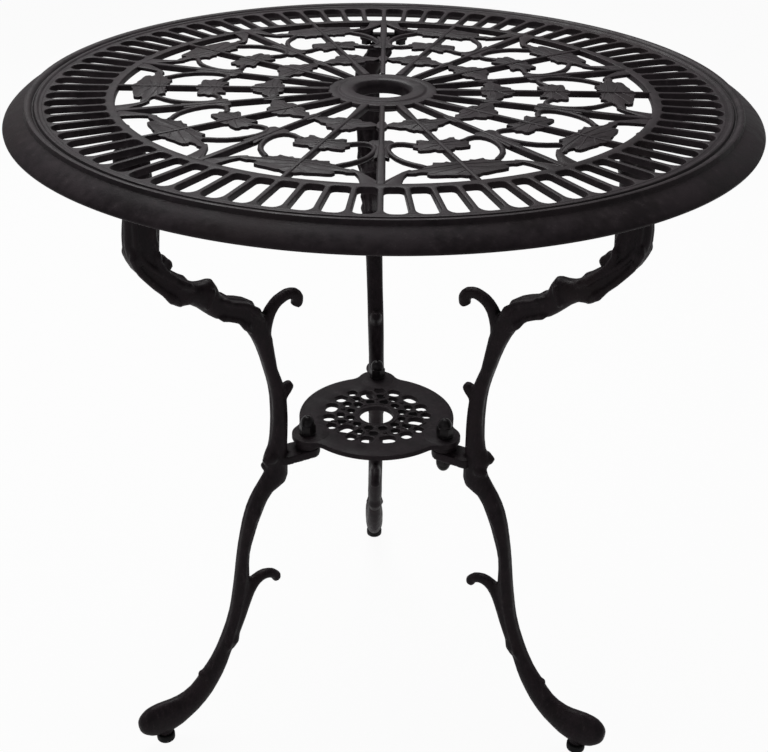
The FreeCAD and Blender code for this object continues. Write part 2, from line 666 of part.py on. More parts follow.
def main():
    os.makedirs("parts", exist_ok=True)
    save("table_top", [table_top()])
    one_leg = leg()
    names = ("rear", "front_left", "front_right")
    for name, angle in zip(names, leg_angles()):
        save("leg_" + name, [turned(one_leg, angle)])
        foot = polar(GLIDE_RADIUS, angle)
        save("glide_pad_" + name, [glide_pad(foot)])
        save("glide_stud_" + name, [glide_stud(foot)])
    save("lower_shelf", [lower_shelf()])
    save("shelf_studs", shelf_studs())
    save("shelf_washers", shelf_washers())
    seat = PAD_TOP + WASHER_THICKNESS
    save("shelf_cap_nuts", [cap_nut(seat, 1, place) for place in shelf_places()])
    save("lower_cap_nut", [cap_nut(TAB_BOTTOM, -1, shelf_places()[2])])
    save("top_screws", top_screws())


main()
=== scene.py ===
"""Dresses the round cast bistro table: openwork top, branch legs, tie shelf and glides."""

import logging
import math
from dataclasses import dataclass
from enum import Enum
from typing import Iterable, Sequence, Union

import bmesh
import bpy
from bmesh.types import BMEdge, BMesh, BMFace, BMVert
from mathutils import Matrix, Vector


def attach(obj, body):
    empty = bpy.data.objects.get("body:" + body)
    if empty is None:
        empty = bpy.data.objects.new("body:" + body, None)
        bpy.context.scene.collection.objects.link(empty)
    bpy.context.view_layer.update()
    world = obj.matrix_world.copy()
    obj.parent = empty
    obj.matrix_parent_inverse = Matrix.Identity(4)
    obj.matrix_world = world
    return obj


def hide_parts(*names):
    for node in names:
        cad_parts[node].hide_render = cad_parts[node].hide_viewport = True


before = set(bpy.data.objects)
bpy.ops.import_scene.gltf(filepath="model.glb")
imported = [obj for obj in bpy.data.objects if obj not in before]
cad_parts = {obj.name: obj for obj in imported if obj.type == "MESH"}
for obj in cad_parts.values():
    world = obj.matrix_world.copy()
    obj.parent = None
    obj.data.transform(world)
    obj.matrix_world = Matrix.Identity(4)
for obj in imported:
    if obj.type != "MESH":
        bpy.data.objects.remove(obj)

Point = tuple[float, float]
Triple = tuple[float, float, float]

MM = 0.001
IMAGE_WIDTH = 768
SAME = 1e-4
UP = Vector((0, 0, 1))
SIDEWAYS = Vector((0, 1, 0))

# Places that several sub-assemblies share, in millimetres and degrees
DECK = 664.0
LEG_ANGLES = (90.0, 210.0, 330.0)
BOLT_RADIUS = 78.0
TAB_BOTTOM = 305.0
FLANGE_RADIUS = 239.0
FLANGE_TOP = 651.0
FLANGE_BOTTOM = 644.0
SCREW_SIDES = (-18.0, 18.0)
GLIDE_RADIUS = 248.0
STUD_RADIUS = 4.0

log = logging.getLogger("bistro_table")


class Slot(Enum):
    """Material slots of the record, one for each kind of finish."""

    CASTING = "casting"
    FASTENER = "fastener"
    STEEL = "steel"
    GLIDE = "glide"


class Body(Enum):
    """Bodies of the frame that the pieces ride on."""

    TABLE = "table"
    GLIDE_REAR = "glide_rear"
    GLIDE_FRONT_LEFT = "glide_front_left"
    GLIDE_FRONT_RIGHT = "glide_front_right"


class Corner(Enum):
    """How far the corners of a plate's outline are cut back, in millimetres."""

    SHARP = 0.0
    FINE = 0.5
    EASED = 1.2


def polar(radius: float, angle: float, height: float = 0.0) -> Vector:
    """Returns the point at a radius and an angle in degrees from +X, at a height."""
    turn = math.radians(angle)
    return Vector((radius * math.cos(turn), radius * math.sin(turn), height))


def leg_places(radius: float) -> list[Vector]:
    """Returns the point at a radius on each leg's line, rear, front left, front right."""
    return [polar(radius, angle) for angle in LEG_ANGLES]


def screw_places(height: float) -> list[Vector]:
    """Returns the places of the screws that hold the legs to the top, at a height."""
    return [polar(FLANGE_RADIUS, angle, height) + polar(side, angle + 90.0)
            for angle in LEG_ANGLES for side in SCREW_SIDES]


def ray_share(tree: bpy.types.NodeTree, glossy_part: float) -> "Value":
    """Finds what the camera sees, straight or through a clear thing.

    Args:
        tree: the node tree that the maths is added to.
        glossy_part: the share that reflections get.

    Returns:
        1 on camera and transmission rays, the share on glossy rays, 0 on the rest.
    """
    path = tree.nodes.new("ShaderNodeLightPath")
    seen, glossy, through = (Value(tree, path.outputs[f"Is {kind} Ray"])
                             for kind in ("Camera", "Glossy", "Transmission"))
    return (seen + glossy * glossy_part + through).at_most(1.0)


class Value:
    """A float socket that writes shader maths as Python expressions."""

    def __init__(self, tree: bpy.types.NodeTree, socket: bpy.types.NodeSocket) -> None:
        """Keeps the tree and the output socket that it wraps."""
        self.tree = tree
        self.socket = socket

    def _math(self, operation: str, first: "Operand", second: "Operand") -> "Value":
        """Adds one Math node.

        Args:
            operation: the Math node's operation.
            first: left operand, a Value or a number.
            second: right operand, a Value or a number.

        Returns:
            The node's output as a Value.
        """
        node = self.tree.nodes.new("ShaderNodeMath")
        node.operation = operation
        for socket, operand in zip(node.inputs, (first, second)):
            if isinstance(operand, Value):
                self.tree.links.new(operand.socket, socket)
            else:
                socket.default_value = float(operand)
        return Value(self.tree, node.outputs[0])

    def __add__(self, other: "Operand") -> "Value":
        """Returns self + other."""
        return self._math("ADD", self, other)

    __radd__ = __add__

    def __mul__(self, other: "Operand") -> "Value":
        """Returns self * other."""
        return self._math("MULTIPLY", self, other)

    __rmul__ = __mul__

    def __sub__(self, other: "Operand") -> "Value":
        """Returns self - other."""
        return self._math("SUBTRACT", self, other)

    def __rsub__(self, other: "Operand") -> "Value":
        """Returns other - self."""
        return self._math("SUBTRACT", other, self)

    def at_least(self, other: "Operand") -> "Value":
        """Returns the larger of self and other."""
        return self._math("MAXIMUM", self, other)

    def at_most(self, other: "Operand") -> "Value":
        """Returns the smaller of self and other."""
        return self._math("MINIMUM", self, other)


Operand = Union[Value, int, float]
Colour = tuple[float, float, float, float]


class Paint:
    """A material's node tree with the few steps that its finishes are made from."""

    def __init__(self, name: str) -> None:
        """Starts a material with a principled shader.

        Args:
            name: the material's name.
        """
        self.material = bpy.data.materials.new(name)
        self.material.use_nodes = True
        self.tree = self.material.node_tree
        self.shader = self.tree.nodes["Principled BSDF"]
        self.output = self.tree.nodes["Material Output"]
        self.place = self.node("ShaderNodeTexCoord").outputs["Object"]

    def node(self, kind: str, settings: dict | None = None,
             sockets: dict | None = None) -> bpy.types.Node:
        """Adds any node.

        Args:
            kind: the node's type.
            settings: attributes that are set first.
            sockets: input names or numbers, with a value, a socket or a Value for each.

        Returns:
            The new node.
        """
        made = self.tree.nodes.new(kind)
        for name, value in (settings or {}).items():
            setattr(made, name, value)
        for name, value in (sockets or {}).items():
            self.feed(made.inputs[name], value)
        return made

    def feed(self, socket: bpy.types.NodeSocket, value: object) -> None:
        """Links or sets one input socket.

        Args:
            socket: the input.
            value: a Value or a socket to link, or a constant to set.
        """
        if isinstance(value, Value):
            self.tree.links.new(value.socket, socket)
        elif isinstance(value, bpy.types.NodeSocket):
            self.tree.links.new(value, socket)
        else:
            socket.default_value = value

    def stretched(self, scale: Triple) -> bpy.types.NodeSocket:
        """Returns the object coordinates scaled by three factors."""
        mapped = self.node("ShaderNodeMapping", None, {"Vector": self.place, "Scale": scale})
        return mapped.outputs["Vector"]

    def noise(self, scale: float, detail: float = 2.0, roughness: float = 0.5,
              vector: bpy.types.NodeSocket | None = None) -> Value:
        """Adds a noise over the object's place.

        Args:
            scale: cells per metre.
            detail: octaves.
            roughness: weight of the finer octaves.
            vector: coordinates, or the object's own.

        Returns:
            The noise from 0 to 1.
        """
        made = self.node("ShaderNodeTexNoise", {"noise_dimensions": "3D"}, {
            "Vector": vector or self.place, "Scale": scale, "Detail": detail, "Roughness": roughness})
        return Value(self.tree, made.outputs["Fac"])

    def spread(self, value: Value, low: float, high: float) -> Value:
        """Stretches part of a value's span to the whole of 0 to 1, with soft ends.

        Args:
            value: the value.
            low: where the result is 0.
            high: where the result is 1.

        Returns:
            The stretched value, held between 0 and 1.
        """
        made = self.node("ShaderNodeMapRange", {"interpolation_type": "SMOOTHSTEP"}, {
            "Value": value, "From Min": low, "From Max": high})
        return Value(self.tree, made.outputs["Result"])

    def mixed(self, share: Operand, first: object, second: object) -> bpy.types.NodeSocket:
        """Mixes two colours.

        Args:
            share: share of the second colour, 0 to 1.
            first: a colour or a colour socket.
            second: a colour or a colour socket.

        Returns:
            The socket with the mixed colour.
        """
        made = self.node("ShaderNodeMix", {"data_type": "RGBA"})
        self.feed(made.inputs["Factor"], share)
        self.feed(made.inputs[6], first)
        self.feed(made.inputs[7], second)
        return made.outputs[2]

    def edge_wear(self, width: float, low: float, high: float) -> Value:
        """Finds the edges that wear lightens.

        Args:
            width: reach of an edge in metres.
            low: noise level at which the wear starts.
            high: noise level at which it is full.

        Returns:
            The share of wear, 0 on flat faces.
        """
        soft = self.node("ShaderNodeBevel", {"samples": 4}, {"Radius": width})
        shape = self.node("ShaderNodeNewGeometry")
        alike = self.node("ShaderNodeVectorMath", {"operation": "DOT_PRODUCT"}, {
            0: soft.outputs["Normal"], 1: shape.outputs["Normal"]})
        turn = self.spread(1.0 - Value(self.tree, alike.outputs["Value"]), 0.01, 0.12)
        return turn * self.spread(self.noise(150.0, 3.0, 0.6), low, high)

    def occlusion_shade(self, reach: float, low: float, high: float) -> Value:
        """Finds how open each place is, for the painted shade in grooves and inner corners.

        Args:
            reach: how far an opposite face still shades, in metres.
            low: openness at which the painted shade is full.
            high: openness at which it ends.

        Returns:
            The share of openness, 1 on free faces.
        """
        # painted shade: the ambient occlusion node tells how enclosed each point is
        made = self.node("ShaderNodeAmbientOcclusion", {"samples": 8, "only_local": True}, {
            "Distance": reach})
        return self.spread(Value(self.tree, made.outputs["AO"]), low, high)

    def bumped(self, height: Value, distance: float, strength: float) -> None:
        """Feeds a height through a Bump node into the shader's normal."""
        made = self.node("ShaderNodeBump", None, {
            "Height": height, "Distance": distance, "Strength": strength})
        self.tree.links.new(made.outputs["Normal"], self.shader.inputs["Normal"])


@dataclass(frozen=True)
class PowderCoat:
    """Satin powder coat over a sand-cast surface."""

    name: str = "powder_coat"
    dark: Colour = (0.0162, 0.0116, 0.0140, 1.0)
    light: Colour = (0.0345, 0.0255, 0.0300, 1.0)
    worn: Colour = (0.088, 0.074, 0.078, 1.0)
    brown: Colour = (0.028, 0.0195, 0.0200, 1.0)
    # near-black colour of the painted shade in grooves and inner corners
    painted_shade: Colour = (0.0035, 0.0030, 0.0034, 1.0)
    specular: float = 0.14
    roughness: float = 0.48
    roughness_swing: float = 0.2
    cloud_scale: float = 24.0
    grain_scale: float = 900.0
    ripple_scale: float = 130.0
    streak: Triple = (1.0, 1.0, 1.0)
    relief: float = 0.0004
    tint_share: float = 0.5
    fleck_share: float = 0.4
    edge_share: float = 0.6
    edge_width: float = 0.0016
    # reach of the occlusion that places the painted shade, in metres
    shade_reach: float = 0.009

    def build(self) -> bpy.types.Material:
        """Returns the finished material."""
        paint = Paint(self.name)
        along = paint.stretched(self.streak)
        clouds = paint.noise(self.cloud_scale, 3.0, 0.6, along)
        ripple = paint.noise(self.ripple_scale, 3.0, 0.55, along)
        grain = paint.noise(self.grain_scale, 2.0, 0.5)
        mottle = paint.spread(clouds * 0.6 + ripple * 0.4, 0.38, 0.62)
        flecks = paint.spread(ripple * 0.7 + grain * 0.3, 0.56, 0.74)
        tint = paint.spread(paint.noise(self.cloud_scale * 0.4, 2.0, 0.5), 0.5, 0.72)
        edges = paint.edge_wear(self.edge_width, 0.35, 0.65)
        worn = (flecks * self.fleck_share).at_least(edges * self.edge_share)
        colour = paint.mixed(mottle, self.dark, self.light)
        colour = paint.mixed(tint * self.tint_share, colour, self.brown)
        colour = paint.mixed(worn, colour, self.worn)
        # painted shade: an ambient occlusion mask darkens grooves and inner corners towards the
        # near-black colour
        colour = paint.mixed(paint.occlusion_shade(self.shade_reach, 0.45, 0.92), self.painted_shade, colour)
        paint.feed(paint.shader.inputs["Base Color"], colour)
        rough = self.roughness + (mottle - 0.5) * self.roughness_swing + (grain - 0.5) * 0.1
        paint.feed(paint.shader.inputs["Roughness"], rough)
        paint.shader.inputs["Metallic"].default_value = 0.0
        paint.shader.inputs["Specular IOR Level"].default_value = self.specular
        paint.bumped(ripple * 0.8 + grain * 0.2, self.relief, 0.6)
        return paint.material


@dataclass(frozen=True)
class PlatedSteel:
    """Dark plated steel of the nuts and washers, with fine turning marks."""

    name: str = "plated_steel"
    dark: Colour = (0.008, 0.0065, 0.0072, 1.0)
    light: Colour = (0.024, 0.0200, 0.0215, 1.0)
    roughness: float = 0.34
    metallic: float = 0.35
    specular: float = 0.3
    scale: float = 260.0
    relief: float = 0.00008

    def build(self) -> bpy.types.Material:
        """Returns the finished material."""
        paint = Paint(self.name)
        spots = paint.noise(self.scale, 4.0, 0.6)
        lines = paint.noise(self.scale, 2.0, 0.5, paint.stretched((1.0, 1.0, 9.0)))
        share = paint.spread(spots * 0.5 + lines * 0.5, 0.36, 0.66)
        paint.feed(paint.shader.inputs["Base Color"], paint.mixed(share, self.dark, self.light))
        paint.feed(paint.shader.inputs["Roughness"], self.roughness + (spots - 0.5) * 0.25)
        paint.shader.inputs["Metallic"].default_value = self.metallic
        paint.shader.inputs["Specular IOR Level"].default_value = self.specular
        paint.bumped(lines, self.relief, 0.5)
        return paint.material


@dataclass(frozen=True)
class MouldedPad:
    """Black moulded plastic of the foot pads, with scuffs."""

    name: str = "moulded_pad"
    dark: Colour = (0.005, 0.005, 0.0055, 1.0)
    light: Colour = (0.018, 0.017, 0.017, 1.0)
    roughness: float = 0.5
    specular: float = 0.25
    grain_scale: float = 1400.0
    scuff_scale: float = 180.0
    relief: float = 0.0001

    def build(self) -> bpy.types.Material:
        """Returns the finished material."""
        paint = Paint(self.name)
        grain = paint.noise(self.grain_scale, 2.0, 0.5)
        scuffs = paint.spread(paint.noise(self.scuff_scale, 4.0, 0.65), 0.5, 0.75)
        paint.feed(paint.shader.inputs["Base Color"], paint.mixed(scuffs, self.dark, self.light))
        rough = self.roughness + scuffs * 0.2 + (grain - 0.5) * 0.1
        paint.feed(paint.shader.inputs["Roughness"], rough)
        paint.shader.inputs["Specular IOR Level"].default_value = self.specular
        paint.bumped(grain, self.relief, 0.6)
        return paint.material


@dataclass(frozen=True)
class ZincThread:
    """Zinc-plated thread of the studs."""

    name: str = "zinc_thread"
    dark: Colour = (0.18, 0.18, 0.17, 1.0)
    light: Colour = (0.42, 0.41, 0.38, 1.0)
    roughness: float = 0.38
    metallic: float = 0.9
    scale: float = 420.0
    relief: float = 0.00006

    def build(self) -> bpy.types.Material:
        """Returns the finished material."""
        paint = Paint(self.name)
        spots = paint.noise(self.scale, 3.0, 0.6)
        share = paint.spread(spots, 0.35, 0.68)
        paint.feed(paint.shader.inputs["Base Color"], paint.mixed(share, self.dark, self.light))
        paint.feed(paint.shader.inputs["Roughness"], self.roughness + (spots - 0.5) * 0.2)
        paint.shader.inputs["Metallic"].default_value = self.metallic
        paint.bumped(spots, self.relief, 0.4)
        return paint.material


class Finishes:
    """The finishes of the whole table, each built once."""

    def __init__(self) -> None:
        """Builds the materials."""
        self.coat = PowderCoat().build()
        self.bark = PowderCoat(name="powder_coat_branch", light=(0.0285, 0.0200, 0.0240, 1.0),
                               cloud_scale=60.0, ripple_scale=240.0, streak=(1.0, 1.0, 0.5),
                               relief=0.0008).build()
        self.steel = PlatedSteel().build()
        self.pad = MouldedPad().build()
        self.zinc = ZincThread().build()


class Work:
    """A mesh in millimetres that is shaped with operators and then becomes a piece."""

    def __init__(self) -> None:
        """Starts an empty mesh."""
        self.bm: BMesh = bmesh.new()

    def parts(self) -> list[BMVert | BMEdge | BMFace]:
        """Returns all that the mesh holds now."""
        return [*self.bm.verts, *self.bm.edges, *self.bm.faces]

    def absorb(self, other: "Work") -> None:
        """Takes over another mesh's geometry.

        Args:
            other: the mesh, which is freed.
        """
        spare = bpy.data.meshes.new("spare")
        other.bm.to_mesh(spare)
        other.bm.free()
        self.bm.from_mesh(spare)
        bpy.data.meshes.remove(spare)

    def mended(self, gap: float = 0.01) -> "Work":
        """Merges doubles and turns every shell outwards.

        Args:
            gap: distance within which vertices are one.

        Returns:
            Itself.
        """
        bmesh.ops.remove_doubles(self.bm, verts=self.bm.verts, dist=gap)
        bmesh.ops.recalc_face_normals(self.bm, faces=self.bm.faces)
        return self

    def turned(self, angle: float, axis: str = "Z") -> "Work":
        """Turns the mesh by degrees about one of the frame's axes; returns itself."""
        bmesh.ops.rotate(self.bm, verts=self.bm.verts, cent=(0, 0, 0),
                         matrix=Matrix.Rotation(math.radians(angle), 3, axis))
        return self

    def moved(self, offset: Sequence[float]) -> "Work":
        """Moves the mesh; returns itself."""
        bmesh.ops.translate(self.bm, verts=self.bm.verts, vec=offset)
        return self

    def repeated(self, count: int, step: float) -> "Work":
        """Copies the mesh round the table's axis.

        Args:
            count: how many there are in all.
            step: degrees from one to the next.

        Returns:
            Itself.
        """
        bmesh.ops.spin(self.bm, geom=self.parts(), cent=(0, 0, 0), axis=(0, 0, 1), dvec=(0, 0, 0),
                       angle=math.radians(step * (count - 1)), steps=count - 1, use_merge=False,
                       use_normal_flip=False, use_duplicate=True)
        return self

    def closed_line(self, points: Iterable[Sequence[float]]) -> BMFace:
        """Adds one face through a few points and returns it."""
        return self.bm.faces.new([self.bm.verts.new(p) for p in points])

    def plate(self, outline: Sequence[Point], low: float, high: float, edge: float,
              mirrored: bool = True, corner: Corner = Corner.EASED, steps: int = 2) -> "Work":
        """Adds a flat plate with worked corners and softened upper edges.

        Args:
            outline: half or whole outline in the XY plane, the half along +Y.
            low: height of the underside.
            high: height of the upper side.
            edge: width of the softened edge.
            mirrored: whether the outline is a half that is mirrored in the YZ plane.
            corner: how the outline's corners are worked.
            steps: segments of the softened edge.

        Returns:
            Itself.
        """
        sheet = Work()
        sheet.closed_line([(x, y, low) for x, y in outline])
        if mirrored:
            sheet.made_whole()
        if corner is not Corner.SHARP:
            bmesh.ops.bevel(sheet.bm, geom=list(sheet.bm.verts), offset=corner.value,
                            offset_type="OFFSET", segments=2, profile=0.5, affect="VERTICES",
                            material=-1, clamp_overlap=True)
        sheet.thicken(low, high, edge, steps)
        self.absorb(sheet)
        return self

    def made_whole(self) -> None:
        """Mirrors a half sheet in the YZ plane and joins the halves along the seam."""
        bmesh.ops.mirror(self.bm, geom=self.parts(), axis="X", merge_dist=0.02)
        bmesh.ops.recalc_face_normals(self.bm, faces=self.bm.faces)
        seam = [e for e in self.bm.edges if all(abs(v.co.x) < 0.03 for v in e.verts)]
        bmesh.ops.dissolve_edges(self.bm, edges=seam, use_verts=False)

    def thicken(self, low: float, high: float, edge: float = 0.0, steps: int = 1) -> "Work":
        """Extrudes all flat faces from low to high and rounds the upper rim.

        Args:
            low: height of the flat faces now.
            high: height that they are raised to.
            edge: width of the rounding, none at zero.
            steps: segments of the rounding.

        Returns:
            Itself.
        """
        flat = list(self.bm.faces)
        grown = bmesh.ops.extrude_face_region(self.bm, geom=flat, use_keep_orig=True)["geom"]
        raised = [g for g in grown if isinstance(g, BMVert)]
        bmesh.ops.translate(self.bm, verts=raised, vec=(0, 0, high - low))
        bmesh.ops.recalc_face_normals(self.bm, faces=self.bm.faces)
        if edge > 0:
            self.soften_rim(high, edge, steps)
        return self

    def soften_rim(self, height: float, edge: float, steps: int) -> None:
        """Rounds the edges at a height where a flat face meets a wall.

        Args:
            height: height of the flat face.
            edge: width of the rounding.
            steps: segments of the rounding.
        """
        rim = [e for e in self.bm.edges if len(e.link_faces) == 2
               and all(abs(v.co.z - height) < SAME for v in e.verts)
               and min(abs(f.normal.z) for f in e.link_faces) < 0.5]
        bmesh.ops.bevel(self.bm, geom=rim, offset=edge, offset_type="OFFSET", segments=steps,
                        profile=0.5, affect="EDGES", material=-1, clamp_overlap=True, loop_slide=True)

    def hexagon(self, flats: float, height: float, edge: float) -> "Work":
        """Adds a hexagonal block that stands at the origin.

        Args:
            flats: width across the flats.
            height: height of the block.
            edge: width of the rounding of its upper rim.

        Returns:
            Itself.
        """
        bmesh.ops.create_circle(self.bm, cap_ends=True, radius=flats / math.sqrt(3), segments=6)
        return self.thicken(0.0, height, edge, 2)

    def post(self, radius: float, low: float, high: float, steps: int = 32) -> "Work":
        """Adds a plain round post on the Z axis from low to high; returns itself."""
        return self.lathe(((0.0, low), (radius, low), (radius, high), (0.0, high)), steps)

    def lathe(self, profile: Sequence[Point], steps: int) -> "Work":
        """Spins a closed profile of (radius, height) round the Z axis.

        Args:
            profile: the points in order, the last joined to the first.
            steps: facets round the circle.

        Returns:
            Itself.
        """
        verts = [self.bm.verts.new((r, 0, z)) for r, z in profile]
        edges = [self.bm.edges.new(pair) for pair in zip(verts, verts[1:] + verts[:1])]
        bmesh.ops.spin(self.bm, geom=verts + edges, cent=(0, 0, 0), axis=(0, 0, 1), dvec=(0, 0, 0),
                       angle=math.tau, steps=steps, use_merge=True, use_normal_flip=False,
                       use_duplicate=False)
        return self.mended()

    def ring(self, centre: Vector, across: Vector, side: Vector, sides: int,
             dents: dict[int, float] | None = None) -> list[BMEdge]:
        """Adds one open section of a branch.

        Args:
            centre: middle of the section.
            across: half width in the first direction.
            side: half width in the second direction.
            sides: corners of the section.
            dents: shares by which numbered corners are drawn in towards the middle.

        Returns:
            The section's edges.
        """
        made = bmesh.ops.create_circle(self.bm, cap_ends=False, radius=1.0, segments=sides)["verts"]
        for number, share in (dents or {}).items():
            made[number].co *= 1.0 - share
        normal = across.cross(side).normalized()
        place = Matrix((across, side, normal)).transposed().to_4x4()
        place.translation = centre
        bmesh.ops.transform(self.bm, matrix=place, verts=made)
        return list({e for v in made for e in v.link_edges})

    def skinned(self, rings: Sequence[list[BMEdge]]) -> "Work":
        """Bridges sections in order and closes both ends.

        Args:
            rings: the edges of each section.

        Returns:
            Itself.
        """
        for low, high in zip(rings, rings[1:]):
            bmesh.ops.bridge_loops(self.bm, edges=low + high)
        for end in (rings[0], rings[-1]):
            bmesh.ops.contextual_create(self.bm, geom=end)
        bmesh.ops.recalc_face_normals(self.bm, faces=self.bm.faces)
        return self

    def limb(self, stations: Sequence[tuple[Vector, float]], flat: Vector, share: float = 1.0,
             sides: int = 12) -> "Work":
        """Adds a closed rod with tapering oval sections.

        Args:
            stations: middle and width of each section, from root to tip.
            flat: direction of each section's second half-axis.
            share: that half-axis as a share of the width.
            sides: corners of a section.

        Returns:
            Itself.
        """
        rod, rings = Work(), []
        centres = [centre for centre, _ in stations]
        for i, (centre, width) in enumerate(stations):
            along = (centres[min(i + 1, len(centres) - 1)] - centres[max(i - 1, 0)]).normalized()
            across = along.cross(flat).normalized() * width / 2
            rings.append(rod.ring(centre, across, flat * width / 2 * share, sides))
        rod.skinned(rings)
        self.absorb(rod)
        return self

    def piece(self, name: str, material: bpy.types.Material, slot: Slot, body: Body = Body.TABLE,
              crease: float = 32.0) -> bpy.types.Object:
        """Turns the mesh into a finished piece of the table.

        Args:
            name: the piece's name.
            material: its finish.
            slot: the record's slot of that finish, not used.
            body: the body that it rides on.
            crease: edges that turn by more degrees than this stay sharp.

        Returns:
            The new object.
        """
        limit = math.radians(crease)
        for face in self.bm.faces:
            face.smooth = True
        for edge in self.bm.edges:
            edge.smooth = len(edge.link_faces) == 2 and edge.calc_face_angle(0.0) < limit
        bmesh.ops.scale(self.bm, vec=(MM, MM, MM), verts=self.bm.verts)
        mesh = bpy.data.meshes.new(name)
        self.bm.to_mesh(mesh)
        self.bm.free()
        mesh.materials.append(material)
        made = bpy.data.objects.new(name, mesh)
        bpy.context.scene.collection.objects.link(made)
        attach(made, body.value)
        log.info("%s: %d faces on %s", name, len(mesh.polygons), body.value)
        return made


def skin_modifiers(piece: bpy.types.Object, voxel: float, smoothing: int) -> None:
    """Melts overlapping limbs into one casting.

    Args:
        piece: the object with closed overlapping shells.
        voxel: size of the new faces in millimetres.
        smoothing: passes that soften the joins.
    """
    melt = piece.modifiers.new("melt", "REMESH")
    melt.mode = "VOXEL"
    melt.voxel_size = voxel * MM
    melt.adaptivity = 0.0
    melt.use_smooth_shade = True
    soften = piece.modifiers.new("soften", "SMOOTH")
    soften.factor = 0.5
    soften.iterations = smoothing


